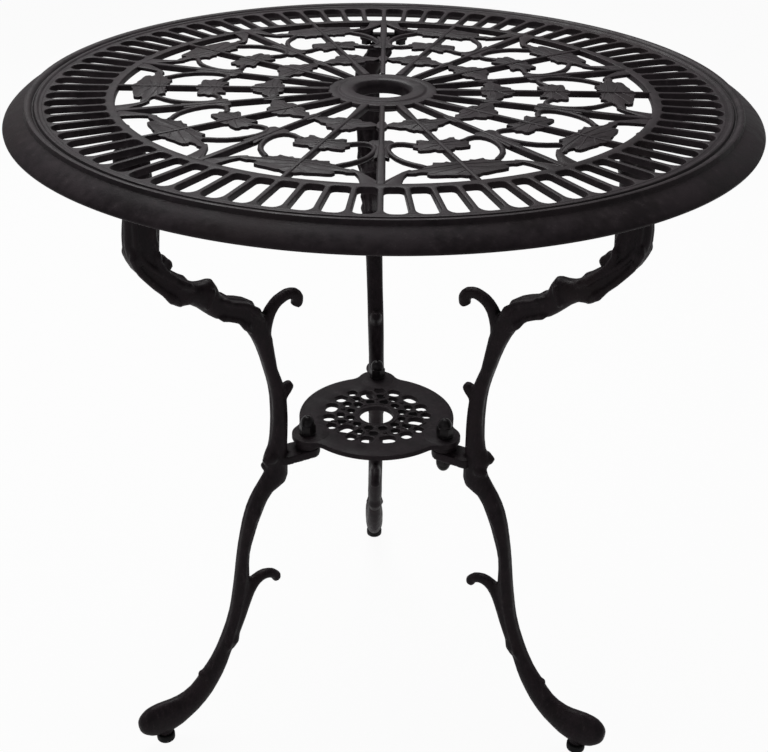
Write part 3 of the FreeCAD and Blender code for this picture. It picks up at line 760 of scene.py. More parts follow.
@dataclass
class TableTop:
    """The openwork top: moulded rim, slot band, lattice of vine leaves, and hub."""

    finishes: Finishes
    deck: float = DECK
    radius: float = 330.4
    rim_depth: float = 17.0
    rim_steps: int = 288
    slot_count: int = 80
    slot_inner: float = 243.0
    slot_outer: float = 294.0
    ring_inner: float = 235.0
    bar_width: float = 4.5
    sectors: int = 10
    slot_inner_corner: float = 4.0
    slot_outer_corner: float = 6.4
    slot_outer_run: float = 8.5
    slot_inner_inset: float = 0.1
    slot_outer_inset: float = 0.2
    band_overlap: float = 3.0
    band_drop: float = 0.35
    band_depth: float = 5.7
    band_edge: float = 1.1
    leaf_top: float = 663.1
    leaf_bottom: float = 660.3
    leaf_edge: float = 0.6
    fleur_rise: float = 0.2
    fleur_edge: float = 0.8
    vein_root: float = 1.9
    vein_taper: float = 1.1
    vine_width: float = 5.0
    vine_depth: float = 1.4
    stem_width: float = 4.7
    stem_bottom: float = 658.8
    stem_edge: float = 1.9
    leaf_start: float = 72.0
    fleur_start: float = 90.0
    hub_radius: float = 48.5
    hole_radius: float = 23.5

    def build(self) -> list[bpy.types.Object]:
        """Builds all pieces of the top and returns them."""
        made = [self.rim(), self.slot_band(), self.leaves(), self.vines(), self.stems(), self.hub(),
                self.bosses()]
        for piece in made:
            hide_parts("table_top")
        return made

    def rim(self) -> bpy.types.Object:
        """Returns the moulded rim, spun from its section."""
        top, slots = self.deck, self.slot_outer
        # (radius, height above the deck)
        section = ((slots + 1.5, -5.0), (slots + 1.5, -0.5), (298.6, -0.5), (299.2, -0.1), (300.0, 0.7),
                   (301.2, 1.0), (302.4, 0.7), (303.2, -0.3), (303.8, -0.9), (304.6, -0.7),
                   (305.4, 0.3), (306.6, 1.3), (308.0, 1.85), (309.4, 2.1), (310.6, 1.8),
                   (311.4, 0.6), (312.0, -1.6), (314.5, -2.9), (318.0, -4.6), (321.5, -6.6),
                   (325.0, -9.0), (328.0, -11.6), (329.9, -13.6), (self.radius, -14.8),
                   (330.2, -16.0), (329.0, -16.8), (327.6, -self.rim_depth), (325.4, -self.rim_depth),
                   (324.2, -16.4), (323.4, -15.0), (320.0, -11.0), (315.0, -7.0), (310.0, -5.2))
        profile = [(r, top + z) for r, z in section]
        return Work().lathe(profile, self.rim_steps).piece("top_rim", self.finishes.coat, Slot.CASTING)

    def slot_band(self) -> bpy.types.Object:
        """Returns the band of slots, one bar's cell repeated round the top."""
        half = math.radians(180.0 / self.slot_count)
        bar = self.bar_width / 2
        low, high = self.deck - self.band_depth, self.deck - self.band_drop
        end = self.slot_outer + self.band_overlap

        def border(radius: float) -> Point:
            """Returns the point of the cell's border at a radius."""
            return (radius * math.sin(half), radius * math.cos(half))

        near, far = self.slot_inner_corner, self.slot_outer_corner
        outline: list[Point] = [(0.0, self.ring_inner), border(self.ring_inner), border(self.slot_inner)]
        for k in range(5):
            turn = math.radians(22.5 * k)
            outline.append((bar + near - near * math.sin(turn),
                            self.slot_inner - self.slot_inner_inset + near - near * math.cos(turn)))
        for k in range(6):
            turn = math.radians(18.0 * k)
            reach = self.slot_outer_run * (1.0 - math.sin(turn))
            outline.append((bar + far - far * math.cos(turn),
                            self.slot_outer - self.slot_outer_inset - reach))
        outline += [border(self.slot_outer), border(end), (0.0, end)]
        cell = Work()
        cell.closed_line([(x, y, low) for x, y in outline])
        cell.made_whole()
        cell.thicken(low, high)
        walls = [f for f in cell.bm.faces if abs(f.normal.z) < 0.5 and self.on_border(f, half)]
        bmesh.ops.delete(cell.bm, geom=walls, context="FACES")
        cell.soften_rim(high, self.band_edge, 3)
        cell.repeated(self.slot_count, 360.0 / self.slot_count).mended(0.02)
        return cell.piece("top_slot_band", self.finishes.coat, Slot.CASTING)

    @staticmethod
    def on_border(face: BMFace, half: float) -> bool:
        """Tells whether a wall lies on the cell's border, half an opening from the bar.

        Args:
            face: the wall.
            half: half the cell's angle in radians.

        Returns:
            True where all its corners lie there.
        """
        return all(abs(abs(math.atan2(v.co.x, v.co.y)) - half) < SAME for v in face.verts)

    def around(self, work: Work, start: float) -> Work:
        """Turns a pattern from +Y to its first angle and repeats it in every sector."""
        return work.turned(start - 90.0).repeated(self.sectors, 360.0 / self.sectors)

    def leaves(self) -> bpy.types.Object:
        """Returns the flat leaves, tulips and petals of all sectors with their veins."""
        low, high = self.leaf_bottom, self.leaf_top
        outer = ((0.0, 224.0), (5.0, 223.2), (9.0, 220.6), (12.5, 220.8), (20.0, 218.6),
                 (27.0, 217.6), (31.5, 216.2), (33.0, 212.4), (30.8, 210.0), (34.0, 208.4),
                 (38.0, 208.2), (40.6, 209.4), (46.6, 207.8), (46.0, 203.6), (41.0, 201.8),
                 (33.6, 201.2), (31.0, 199.6), (29.8, 196.0), (27.0, 195.6), (24.0, 195.6),
                 (21.2, 193.6), (20.6, 190.0), (16.0, 191.4), (12.6, 192.2), (9.6, 190.4),
                 (7.4, 193.0), (3.2, 192.4), (0.0, 192.6))
        middle = ((0.0, 166.6), (3.4, 165.8), (6.8, 164.8), (8.4, 161.9), (12.5, 163.2),
                  (20.6, 162.6), (22.2, 160.0), (20.6, 156.0), (23.8, 152.4), (22.0, 149.6),
                  (24.2, 146.4), (21.0, 143.8), (17.6, 145.6), (15.4, 143.2), (16.2, 138.2),
                  (12.0, 138.0), (9.0, 140.4), (4.6, 142.4), (0.0, 141.6))
        inner = ((0.0, 117.4), (4.4, 117.2), (6.6, 114.2), (9.6, 114.8), (12.4, 110.6), (14.0, 106.4),
                 (18.6, 105.4), (22.6, 101.4), (29.5, 97.4), (24.6, 93.0), (19.4, 90.0), (16.6, 91.6),
                 (12.4, 91.4), (10.2, 87.6), (4.4, 87.0), (0.0, 88.0))
        leaf = Work()
        for outline in (outer, middle, inner):
            leaf.plate(outline, low, high, self.leaf_edge, corner=Corner.FINE)
        self.veined(leaf, (((2.0, 196.0), (19.0, 192.5)), ((2.0, 199.0), (31.0, 202.0), (44.0, 205.6)),
                           ((2.0, 205.0), (18.0, 210.0), (31.0, 213.6)), ((2.0, 212.0), (12.0, 218.6)),
                           ((2.0, 146.0), (14.6, 140.6)), ((2.0, 149.0), (12.0, 149.0), (22.0, 147.0)),
                           ((2.0, 153.0), (11.0, 156.6), (20.4, 160.4)), ((2.0, 158.0), (6.0, 163.4)),
                           ((2.0, 92.0), (9.6, 89.4)), ((2.0, 95.0), (12.0, 94.6), (22.0, 92.8)),
                           ((2.0, 98.0), (14.0, 99.4), (27.0, 97.4)),
                           ((2.0, 102.0), (8.0, 107.6), (11.0, 112.0))))
        self.around(leaf, self.leaf_start)
        fleur = Work()
        petal = ((2.2, 236.5), (2.2, 229.5), (3.6, 227.0), (9.5, 218.4), (16.0, 208.8), (21.6, 203.6),
                 (24.2, 206.6), (19.6, 212.0), (17.0, 219.0), (15.4, 229.4), (15.2, 236.2))
        for side in (1, -1):
            fleur.plate([(x * side, y) for x, y in petal[::side]], low, high + self.fleur_rise,
                        self.fleur_edge, mirrored=False)
        tulip = ((0.0, 174.0), (2.6, 177.4), (5.6, 180.6), (6.6, 178.0), (5.2, 170.0), (4.8, 160.0),
                 (5.8, 152.4), (9.6, 147.4), (10.4, 141.8), (7.2, 137.6), (3.4, 138.6), (0.0, 135.0))
        node = ((0.0, 112.0), (3.6, 107.0), (5.0, 101.0), (3.4, 93.0), (0.0, 84.0))
        for outline in (tulip, node):
            fleur.plate(outline, low, high + self.fleur_rise, self.fleur_edge)
        self.veined(fleur, (((3.0, 233.0), (9.0, 222.0), (19.6, 207.0)),
                            ((2.0, 160.0), (4.4, 151.0), (8.4, 143.0))))
        self.around(fleur, self.fleur_start)
        leaf.absorb(fleur)
        return leaf.mended(0.001).piece("top_lattice_leaves", self.finishes.coat, Slot.CASTING)

    def veined(self, work: Work, lines: Sequence[Sequence[Point]]) -> None:
        """Adds raised veins to both halves of a pattern.

        Args:
            work: the pattern's mesh.
            lines: points of each vein in the half along +X, from the stem outwards.
        """
        height = self.leaf_top - 0.1
        for line in lines:
            widths = [self.vein_root - self.vein_taper * k / (len(line) - 1) for k in range(len(line))]
            for side in (1, -1):
                work.limb([(Vector((x * side, y, height)), width) for (x, y), width in zip(line, widths)],
                          UP, share=0.65, sides=6)

    def vines(self) -> bpy.types.Object:
        """Returns the looping vines that tie the leaves to one another."""
        line = ((29.0, 197.4), (31.6, 193.6), (36.2, 188.4), (40.6, 181.6), (43.6, 173.4), (44.9, 165.0),
                (44.8, 157.0), (43.6, 150.6), (41.2, 145.6), (37.4, 141.8), (32.6, 140.8), (27.6, 142.2),
                (23.0, 145.6), (18.5, 148.6))
        vine = Work()
        height = self.leaf_top - self.vine_depth
        for side in (1, -1):
            vine.limb([(Vector((x * side, y, height)), self.vine_width) for x, y in line], UP, share=0.85)
        self.around(vine, self.leaf_start)
        return vine.piece("top_lattice_vines", self.finishes.coat, Slot.CASTING, crease=60.0)

    def stems(self) -> bpy.types.Object:
        """Returns the raised round-topped stems that run from the hub to the ring."""
        half = self.stem_width / 2
        wide, foot, ring = half + 1.0, self.hub_radius - 2.0, self.ring_inner + self.band_overlap
        leaf = ((0.0, foot), (3.5, foot), (3.5, 66.0), (half, 92.0), (half, ring), (0.0, ring))
        fleur = ((0.0, foot), (half, foot), (half, 140.0), (wide, 172.0), (wide, ring), (0.0, ring))
        stems = Work()
        for outline, start in ((leaf, self.leaf_start), (fleur, self.fleur_start)):
            stem = Work().plate(outline, self.stem_bottom, self.deck, self.stem_edge,
                                corner=Corner.SHARP, steps=4)
            stems.absorb(self.around(stem, start))
        return stems.piece("top_lattice_stems", self.finishes.coat, Slot.CASTING)

    def hub(self) -> bpy.types.Object:
        """Returns the hub disc with its collar and chamfered pole hole."""
        top, r, hole = self.deck, self.hub_radius, self.hole_radius
        profile: list[Point] = [
            (hole, top - 11.5), (hole, top - 4.0), (hole + 0.4, top - 3.2), (hole + 2.8, top - 0.7),
            (hole + 4.0, top), (36.6, top), (37.5, top - 0.2), (38.4, top - 0.9), (39.2, top - 1.2),
            (40.2, top - 1.2), (41.0, top - 0.9), (r - 2.2, top - 0.8), (r - 0.8, top - 1.2),
            (r, top - 2.2), (r, top - 4.2), (r - 0.8, top - 5.0), (hole + 11.5, top - 5.0),
            (hole + 9.0, top - 6.4), (hole + 8.0, top - 11.0), (hole + 7.0, top - 12.0),
            (hole + 0.6, top - 12.0)]
        return Work().lathe(profile, 128).piece("top_hub", self.finishes.coat, Slot.CASTING)

    def bosses(self) -> bpy.types.Object:
        """Returns the bosses under the ring that the legs are screwed to."""
        bosses = Work()
        section = ((0.0, 0.0), (6.2, 0.0), (7.0, 0.8), (7.0, 6.6), (8.6, 8.4), (0.0, 8.4))
        for place in screw_places(0.0):
            boss = Work().lathe([(r, FLANGE_TOP + z) for r, z in section], 32)
            bosses.absorb(boss.moved(place))
        return bosses.piece("top_bosses", self.finishes.coat, Slot.CASTING)


# From the leg's top to its foot, in millimetres, the heights counted from the deck:
# (outer radius, outer height, inner radius, inner height, thickness, depth of the groove as a share)
LEG_STATIONS = (
    (252.0, -19.0, 226.0, -19.0, 20.0, 0.0), (252.5, -40.0, 223.0, -40.0, 20.5, 0.06),
    (254.5, -58.0, 221.5, -60.0, 21.0, 0.12), (257.0, -77.0, 220.5, -82.0, 21.5, 0.16),
    (258.5, -95.0, 221.5, -101.0, 21.5, 0.22), (255.3, -110.5, 221.0, -113.5, 21.0, 0.28),
    (245.5, -125.5, 213.0, -127.0, 20.5, 0.34), (229.8, -144.0, 201.0, -136.0, 20.0, 0.34),
    (213.6, -162.0, 190.8, -142.0, 20.0, 0.22), (200.0, -163.0, 184.0, -143.3, 19.5, 0.06),
    (186.0, -173.5, 176.0, -143.8, 22.0, 0.0), (175.5, -184.0, 169.0, -157.3, 20.5, 0.16),
    (164.0, -188.5, 158.0, -165.8, 18.5, 0.32), (154.8, -193.5, 141.2, -171.0, 18.0, 0.34),
    (143.8, -208.0, 124.2, -189.5, 18.0, 0.32), (134.2, -226.0, 116.2, -216.5, 17.5, 0.24),
    (126.2, -250.5, 111.5, -251.0, 17.0, 0.18), (121.3, -272.0, 103.0, -276.0, 17.0, 0.20),
    (119.5, -296.0, 100.5, -296.0, 17.0, 0.28), (119.8, -318.0, 100.0, -318.0, 16.5, 0.20),
    (122.0, -339.0, 101.0, -339.0, 16.5, 0.04), (127.5, -352.0, 101.0, -354.0, 17.5, 0.0),
    (124.5, -362.0, 101.0, -366.0, 17.0, 0.0), (131.0, -374.0, 103.5, -383.0, 17.0, 0.04),
    (139.0, -386.0, 117.0, -390.0, 16.5, 0.14), (148.0, -403.0, 128.0, -409.0, 15.5, 0.20),
    (155.0, -432.0, 139.0, -437.0, 15.0, 0.20), (159.0, -457.0, 145.0, -457.0, 15.0, 0.16),
    (162.5, -482.0, 146.0, -482.0, 15.0, 0.14), (166.5, -505.0, 147.0, -508.0, 15.0, 0.16),
    (170.5, -526.0, 153.0, -528.0, 15.0, 0.20), (180.0, -554.0, 163.5, -556.0, 15.5, 0.20),
    (193.0, -579.0, 175.5, -589.0, 16.5, 0.12), (204.0, -593.0, 187.0, -610.0, 17.5, 0.0),
    (216.5, -608.0, 202.0, -629.0, 19.0, 0.0), (232.5, -615.0, 221.0, -644.0, 20.5, 0.0),
    (246.0, -615.0, 239.0, -653.0, 21.5, 0.0), (262.0, -616.0, 259.0, -653.5, 21.5, 0.0),
    (271.5, -621.5, 270.0, -647.5, 18.0, 0.0), (276.5, -629.0, 276.0, -640.0, 9.0, 0.0))


@dataclass
class BranchLeg:
    """One cast leg: a gnarled branch with twigs, tab, flange and rolled foot."""

    finishes: Finishes
    name: str
    angle: float
    deck: float = DECK
    section_sides: int = 16
    voxel: float = 1.25
    smoothing: int = 3
    groove_edge: float = 0.45
    lean: float = 0.064
    lean_start: float = 262.0
    lean_out: float = 0.886
    lean_up: float = 0.463
    lean_fade_start: float = 608.0
    lean_fade_run: float = 34.0
    scroll_root: float = 0.55
    scroll_tip: float = 0.45
    lip_places: tuple[float, float] = (0.2, 0.8)
    lip_depth: float = 0.45
    lip_taper: float = 0.5
    tab_top: float = 314.0
    tab_width: float = 25.0
    tab_reach: float = 109.0
    bar_half: float = 7.0
    ear_radius: float = 7.0
    seat_radius: float = 7.5
    seat_height: float = 20.0
    foot_bottom: float = 8.8

    def build(self) -> list[bpy.types.Object]:
        """Builds the leg and returns its piece."""
        leg = self.branch()
        for solid in (*self.twigs(), *self.scrolls(), *self.lugs()):
            leg.absorb(solid)
        leg.turned(self.angle)
        piece = leg.piece("branch_leg_" + self.name, self.finishes.bark, Slot.CASTING)
        skin_modifiers(piece, self.voxel, self.smoothing)
        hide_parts("leg_" + self.name)
        return [piece]

    def branch(self) -> Work:
        """Returns the main branch through pairs of outer and inner edge points."""
        work, rings = Work(), []
        quarter = self.section_sides // 4
        for outer_r, outer_z, inner_r, inner_z, thickness, groove in LEG_STATIONS:
            outer = self.leaning(outer_r, self.deck + outer_z)
            inner = self.leaning(inner_r, self.deck + inner_z)
            dents = {middle + step: groove * share for middle in (quarter, 3 * quarter)
                     for step, share in ((-1, self.groove_edge), (0, 1.0), (1, self.groove_edge))}
            rings.append(work.ring((outer + inner) / 2, (outer - inner) / 2,
                                   Vector((0, thickness / 2, 0)), self.section_sides, dents))
        work.skinned(rings)
        return self.refined(work)

    def leaning(self, radius: float, height: float, side: float = 0.0) -> Vector:
        """Returns a point of the leg, leant sideways as the photographed legs are.

        Args:
            radius: distance from the table's axis.
            height: height above the floor.
            side: how far off the leg's middle plane the point is.

        Returns:
            The point; the lean grows from the line between foot and shelf and ends below the flange.
        """
        reach = max((radius - self.lean_start) * self.lean_out + height * self.lean_up, 0.0)
        rise = min(max((height - self.lean_fade_start) / self.lean_fade_run, 0.0), 1.0)
        kept = 1.0 - rise * rise * (3.0 - 2.0 * rise)
        return Vector((radius, side + self.lean * reach * kept, height))

    @staticmethod
    def refined(work: Work, rounding: float = 0.6) -> Work:
        """Subdivides a limb's skin once with rounding and returns it."""
        bmesh.ops.subdivide_edges(work.bm, edges=work.bm.edges, cuts=1, use_grid_fill=True,
                                  smooth=rounding)
        return work

    def twig(self, stations: Sequence[Triple], side: float = 0.0) -> Work:
        """Returns a round twig.

        Args:
            stations: (radius from the axis, height, thickness) from root to tip.
            side: how far off the leg's middle plane it lies.

        Returns:
            The closed twig.
        """
        line = [(self.leaning(r, z, side), thickness) for r, z, thickness in stations]
        return self.refined(Work().limb(line, SIDEWAYS))

    def twigs(self) -> list[Work]:
        """Returns the curled upper twig, the hooked lower one, the bud, stubs and nubs."""
        # (radius, height, thickness)
        upper = ((121.0, 436.0, 9.0), (124.0, 450.0, 12.5), (121.0, 467.0, 12.5), (114.0, 479.0, 11.5),
                 (105.0, 485.0, 11.0), (97.0, 486.5, 11.0), (91.0, 483.0, 12.0), (89.6, 477.0, 11.5),
                 (92.0, 472.5, 9.0))
        lower = ((172.0, 94.0, 11.0), (166.0, 112.0, 13.5), (158.5, 132.0, 14.5), (151.0, 152.0, 14.5),
                 (143.0, 165.5, 13.0), (134.0, 172.0, 11.5), (125.0, 172.5, 10.5), (118.0, 168.5, 10.0),
                 (115.0, 162.0, 8.5))
        bud = ((112.0, 376.0, 12.0), (104.5, 383.5, 13.0), (99.0, 388.5, 11.0), (95.5, 390.5, 6.0))
        stub = ((150.0, 158.0, 10.0), (147.0, 170.0, 9.0), (146.0, 174.5, 6.0))
        nub = ((197.0, 60.0, 9.0), (203.0, 68.5, 9.5), (205.4, 72.0, 6.0))
        knot = ((228.0, 551.0, 12.0), (220.0, 544.5, 12.0), (214.8, 540.5, 9.0))
        boll = ((205.0, 517.0, 15.0), (209.0, 508.5, 15.0), (211.5, 504.0, 12.0))
        made = [self.twig(line) for line in (upper, lower, bud, stub, nub, knot, boll)]
        made += [self.twig(((116.0, 316.0, 11.0), (125.5, 312.5, 10.0), (129.0, 311.0, 6.0)), 4.5),
                 self.twig(((116.0, 303.0, 11.0), (124.0, 301.0, 9.0), (127.0, 300.0, 5.5)), -4.5)]
        return made

    def scrolls(self) -> list[Work]:
        """Returns the raised scrolls on both faces, at the leg's top and beside its foot."""
        # (radius, height)
        top = ((229.0, 627.0), (232.0, 632.0), (238.0, 631.0), (243.0, 622.0), (245.5, 608.0),
               (247.0, 594.0), (247.5, 580.0), (246.5, 566.0), (240.0, 553.5), (228.0, 542.0),
               (214.0, 530.5), (200.0, 520.0))
        curl = ((236.5, 602.0), (237.5, 612.0), (234.0, 615.0), (231.0, 608.0), (230.5, 597.0),
                (231.0, 585.0), (231.0, 573.0), (228.5, 563.0))
        foot = ((212.0, 48.0), (219.0, 42.5), (226.0, 42.0), (230.5, 37.0), (228.0, 31.0), (222.0, 30.5),
                (219.5, 35.0), (223.0, 38.0))
        rib = ((134.0, 266.0), (142.0, 244.0), (149.5, 222.0), (152.5, 200.0), (154.5, 178.0),
               (158.0, 156.0), (162.5, 136.0), (171.0, 110.0), (181.0, 90.0))
        knob = ((178.0, 515.0), (180.0, 509.0), (183.0, 502.0), (185.5, 496.0))
        made = self.lips()
        for line, width, depth in ((top, 5.2, 10.2), (curl, 5.0, 10.2), (foot, 3.2, 7.6),
                                   (rib, 4.0, 6.4), (knob, 5.2, 9.8)):
            shares = [self.scroll_root] + [1.0] * (len(line) - 2) + [self.scroll_tip]
            stations = [(r, z, width * share) for (r, z), share in zip(line, shares)]
            made += [self.twig(stations, side) for side in (-depth, depth)]
        return made

    def lips(self) -> list[Work]:
        """Returns the raised lips along both faces that leave a groove between them."""
        runs = ((LEG_STATIONS[4:9], 6.4), (LEG_STATIONS[11:15], 5.4))
        return [self.lip(run, width, share, side) for run, width in runs
                for share in self.lip_places for side in (-self.lip_depth, self.lip_depth)]

    def lip(self, run: Sequence[Sequence[float]], width: float, share: float, side: float) -> Work:
        """Returns one lip along a run of stations, thinner at both ends.

        Args:
            run: the stations.
            width: width of the lip.
            share: where it lies between the inner edge, 0, and the outer edge, 1.
            side: how far off the leg's middle plane it lies, as a share of the thickness.

        Returns:
            The closed lip.
        """
        line = []
        for i, (outer_r, outer_z, inner_r, inner_z, thickness, _) in enumerate(run):
            taper = self.lip_taper if i in (0, len(run) - 1) else 1.0
            place = self.leaning(inner_r + (outer_r - inner_r) * share,
                                 self.deck + inner_z + (outer_z - inner_z) * share, thickness * side)
            line.append((place, width * taper))
        return self.refined(Work().limb(line, SIDEWAYS))

    def lugs(self) -> list[Work]:
        """Returns the machined lugs: shelf tab, flange bar with ears, and glide seat."""
        half, (low, high) = self.tab_width / 2, SCREW_SIDES
        inner, outer = FLANGE_RADIUS - self.bar_half, FLANGE_RADIUS + self.bar_half
        nose = [polar(half, -90.0 - turn) for turn in range(0, 181, 15)]
        outline = [(self.tab_reach, -half), *((BOLT_RADIUS + point.x, point.y) for point in nose),
                   (self.tab_reach, half)]
        tab = Work().plate(outline, TAB_BOTTOM, self.tab_top, 0.0, mirrored=False, corner=Corner.SHARP)
        bar = Work().plate(((inner, low), (outer, low), (outer, high), (inner, high)), FLANGE_BOTTOM,
                           FLANGE_TOP, 0.0, mirrored=False, corner=Corner.SHARP)
        ears = [Work().post(self.ear_radius, FLANGE_BOTTOM, FLANGE_TOP).moved((FLANGE_RADIUS, side, 0))
                for side in SCREW_SIDES]
        seat = Work().post(self.seat_radius, self.foot_bottom, self.foot_bottom + self.seat_height)
        return [tab, bar, *ears, seat.moved((GLIDE_RADIUS, 0, 0))]


@dataclass
class TieShelf:
    """The small pierced shelf that ties the legs together."""

    finishes: Finishes
    top: float = 327.0
    bottom: float = 322.0
    boss_bottom: float = 314.0
    radius: float = 78.0
    hole_radius: float = 17.0
    lobe_radius: float = 20.0
    lobe_centre: float = 73.0
    fillet: float = 14.0
    edge: float = 0.7
    boss_radius: float = 12.5
    boss_chamfer: float = 0.8
    arms: int = 3
    turn: float = -16.0
    oval_corners: int = 20
    oval_fullness: float = 0.8
    pad_rise: float = 1.0
    pearl_flatness: float = 0.6
    rib_width: float = 2.4

    def build(self) -> list[bpy.types.Object]:
        """Builds the shelf and returns its piece."""
        plate = Work()
        lines = [self.outline(), self.circle(self.hole_radius, 64), *self.openings()]
        edges: list[BMEdge] = []
        for line in lines:
            verts = [plate.bm.verts.new((p.x, p.y, self.bottom)) for p in line]
            edges += [plate.bm.edges.new(pair) for pair in zip(verts, verts[1:] + verts[:1])]
        bmesh.ops.triangle_fill(plate.bm, use_beauty=True, use_dissolve=False, edges=edges,
                                normal=(0, 0, 1))
        plate.thicken(self.bottom, self.top, self.edge, 2)
        for place in leg_places(BOLT_RADIUS):
            plate.absorb(self.boss().moved(place))
        plate.absorb(self.pads())
        plate.absorb(self.pearls())
        piece = plate.piece("tie_shelf", self.finishes.coat, Slot.CASTING)
        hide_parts("lower_shelf")
        return [piece]

    def boss(self) -> Work:
        """Returns one round boss below the shelf, on the axis."""
        r, low, high, cut = self.boss_radius, self.boss_bottom, self.bottom + 0.5, self.boss_chamfer
        return Work().lathe(((0.0, low), (r - cut, low), (r, low + cut), (r, high), (0.0, high)), 48)

    @staticmethod
    def circle(radius: float, steps: int) -> list[Vector]:
        """Returns the points of a circle round the axis."""
        return [polar(radius, 360.0 / steps * k) for k in range(steps)]

    @staticmethod
    def arc(centre: Vector, radius: float, start: float, end: float, steps: int) -> list[Vector]:
        """Draws an arc.

        Args:
            centre: its centre.
            radius: its radius.
            start: angle of the first point, in degrees.
            end: angle of the last point, in degrees.
            steps: parts that it is divided in.

        Returns:
            The arc's points.
        """
        return [centre + polar(radius, start + (end - start) * k / steps) for k in range(steps + 1)]

    def outline(self) -> list[Vector]:
        """Returns the disc's outline with three rounded lobes and their fillets."""
        reach, span = self.radius + self.fillet, self.lobe_radius + self.fillet
        cosine = (reach ** 2 + self.lobe_centre ** 2 - span ** 2) / (2 * reach * self.lobe_centre)
        turn = math.degrees(math.acos(cosine))
        line: list[Vector] = []
        for angle in LEG_ANGLES:
            lobe = polar(self.lobe_centre, angle)
            before, after = polar(reach, angle - turn), polar(reach, angle + turn)
            enter = math.degrees(math.atan2(before.y - lobe.y, before.x - lobe.x))
            leave = math.degrees(math.atan2(after.y - lobe.y, after.x - lobe.x))
            enter += 360.0 * round((angle - enter) / 360.0)
            leave += 360.0 * round((angle - leave) / 360.0)
            following = angle + 360.0 / self.arms
            line += self.arc(before, self.fillet, angle - turn + 180.0, enter + 180.0, 6)
            line += self.arc(lobe, self.lobe_radius, enter, leave, 20)[1:-1]
            line += self.arc(after, self.fillet, leave + 180.0, angle + turn + 180.0, 6)
            line += self.arc(Vector(), self.radius, angle + turn, following - turn, 20)[1:-1]
        return line

    def openings(self) -> list[list[Vector]]:
        """Returns the outlines of the oval openings in their three-fold order."""
        shapes: list[list[Vector]] = []
        # (angle from the arm's middle, middle radius, half length, half width, mirrored)
        ovals = ((0.0, 41.2, 8.4, 6.8, False), (60.0, 47.8, 6.6, 8.6, False),
                 (16.5, 50.0, 5.2, 5.2, True), (35.5, 48.2, 6.2, 6.6, True),
                 (0.0, 26.6, 3.6, 4.4, False), (30.0, 26.6, 3.8, 4.6, True),
                 (60.0, 26.6, 3.8, 4.4, False), (19.5, 37.2, 4.4, 4.2, True),
                 (42.0, 36.2, 4.2, 4.8, True))
        turns = [math.tau * n / self.oval_corners for n in range(self.oval_corners)]
        for k in range(self.arms):
            for angle, middle, length, width, mirrored in ovals:
                oval = [(width * self.squared(math.cos(turn)),
                         middle + length * self.squared(math.sin(turn))) for turn in turns]
                for side in (1, -1) if mirrored else (1,):
                    start = self.turn + 360.0 / self.arms * k + angle * side
                    shapes.append([self.placed(point, start) for point in oval])
        return shapes

    def squared(self, share: float) -> float:
        """Returns a sine or cosine drawn out so that an oval has fuller corners."""
        return math.copysign(abs(share) ** self.oval_fullness, share)

    @staticmethod
    def placed(point: Point, angle: float) -> Vector:
        """Returns a point drawn along +Y, turned to lie along an angle."""
        return Matrix.Rotation(math.radians(angle - 90.0), 3, "Z") @ Vector((point[0], point[1], 0))

    def pads(self) -> Work:
        """Returns the raised round pads under the washers."""
        work = Work()
        r, low, high = self.lobe_radius, self.top, self.top + self.pad_rise
        section = ((0.0, low - 1.0), (r - 1.0, low - 0.8), (r - 2.0, low - 0.1), (r - 5.0, high - 0.75),
                   (r - 7.5, high - 0.3), (r - 9.0, high - 0.05), (r - 10.0, high), (0.0, high))
        for place in leg_places(self.lobe_centre):
            work.absorb(Work().lathe(section, 64).moved(place))
        return work

    def pearls(self) -> Work:
        """Returns the pearls and leaf ribs between the openings."""
        work = Work()
        # (angle from the arm's middle, radius from the axis, size)
        for angle, radius, size in ((14.5, 30.8, 2.0), (-14.5, 30.8, 2.0), (31.0, 32.0, 2.0),
                                    (-31.0, 32.0, 2.0), (60.0, 35.6, 2.6), (25.0, 43.4, 2.0),
                                    (-25.0, 43.4, 2.0)):
            pearl = Work()
            bmesh.ops.create_uvsphere(pearl.bm, u_segments=16, v_segments=10, radius=size)
            bmesh.ops.scale(pearl.bm, vec=(1.0, 1.0, self.pearl_flatness), verts=pearl.bm.verts)
            spot = self.placed((0.0, radius), 90.0 + angle)
            work.absorb(pearl.moved((spot.x, spot.y, self.top - 0.1)))
        ribs = (((-7.8, 31.0), (-8.2, 38.0), (-7.8, 46.6), (0.0, 51.2), (7.8, 46.6), (8.2, 38.0),
                 (7.8, 31.0)),
                ((15.6, 31.6), (18.0, 36.4), (20.6, 41.6), (20.2, 46.8)),
                ((-15.6, 31.6), (-18.0, 36.4), (-20.6, 41.6), (-20.2, 46.8)),
                ((-12.0, 18.0), (-7.0, 21.0), (0.0, 21.8), (7.0, 21.0), (12.0, 18.0)))
        for line in ribs:
            work.limb([(Vector((x, y, self.top - 0.2)), self.rib_width) for x, y in line], UP,
                      share=0.8, sides=8)
        return work.turned(self.turn - 90.0).repeated(self.arms, 360.0 / self.arms)


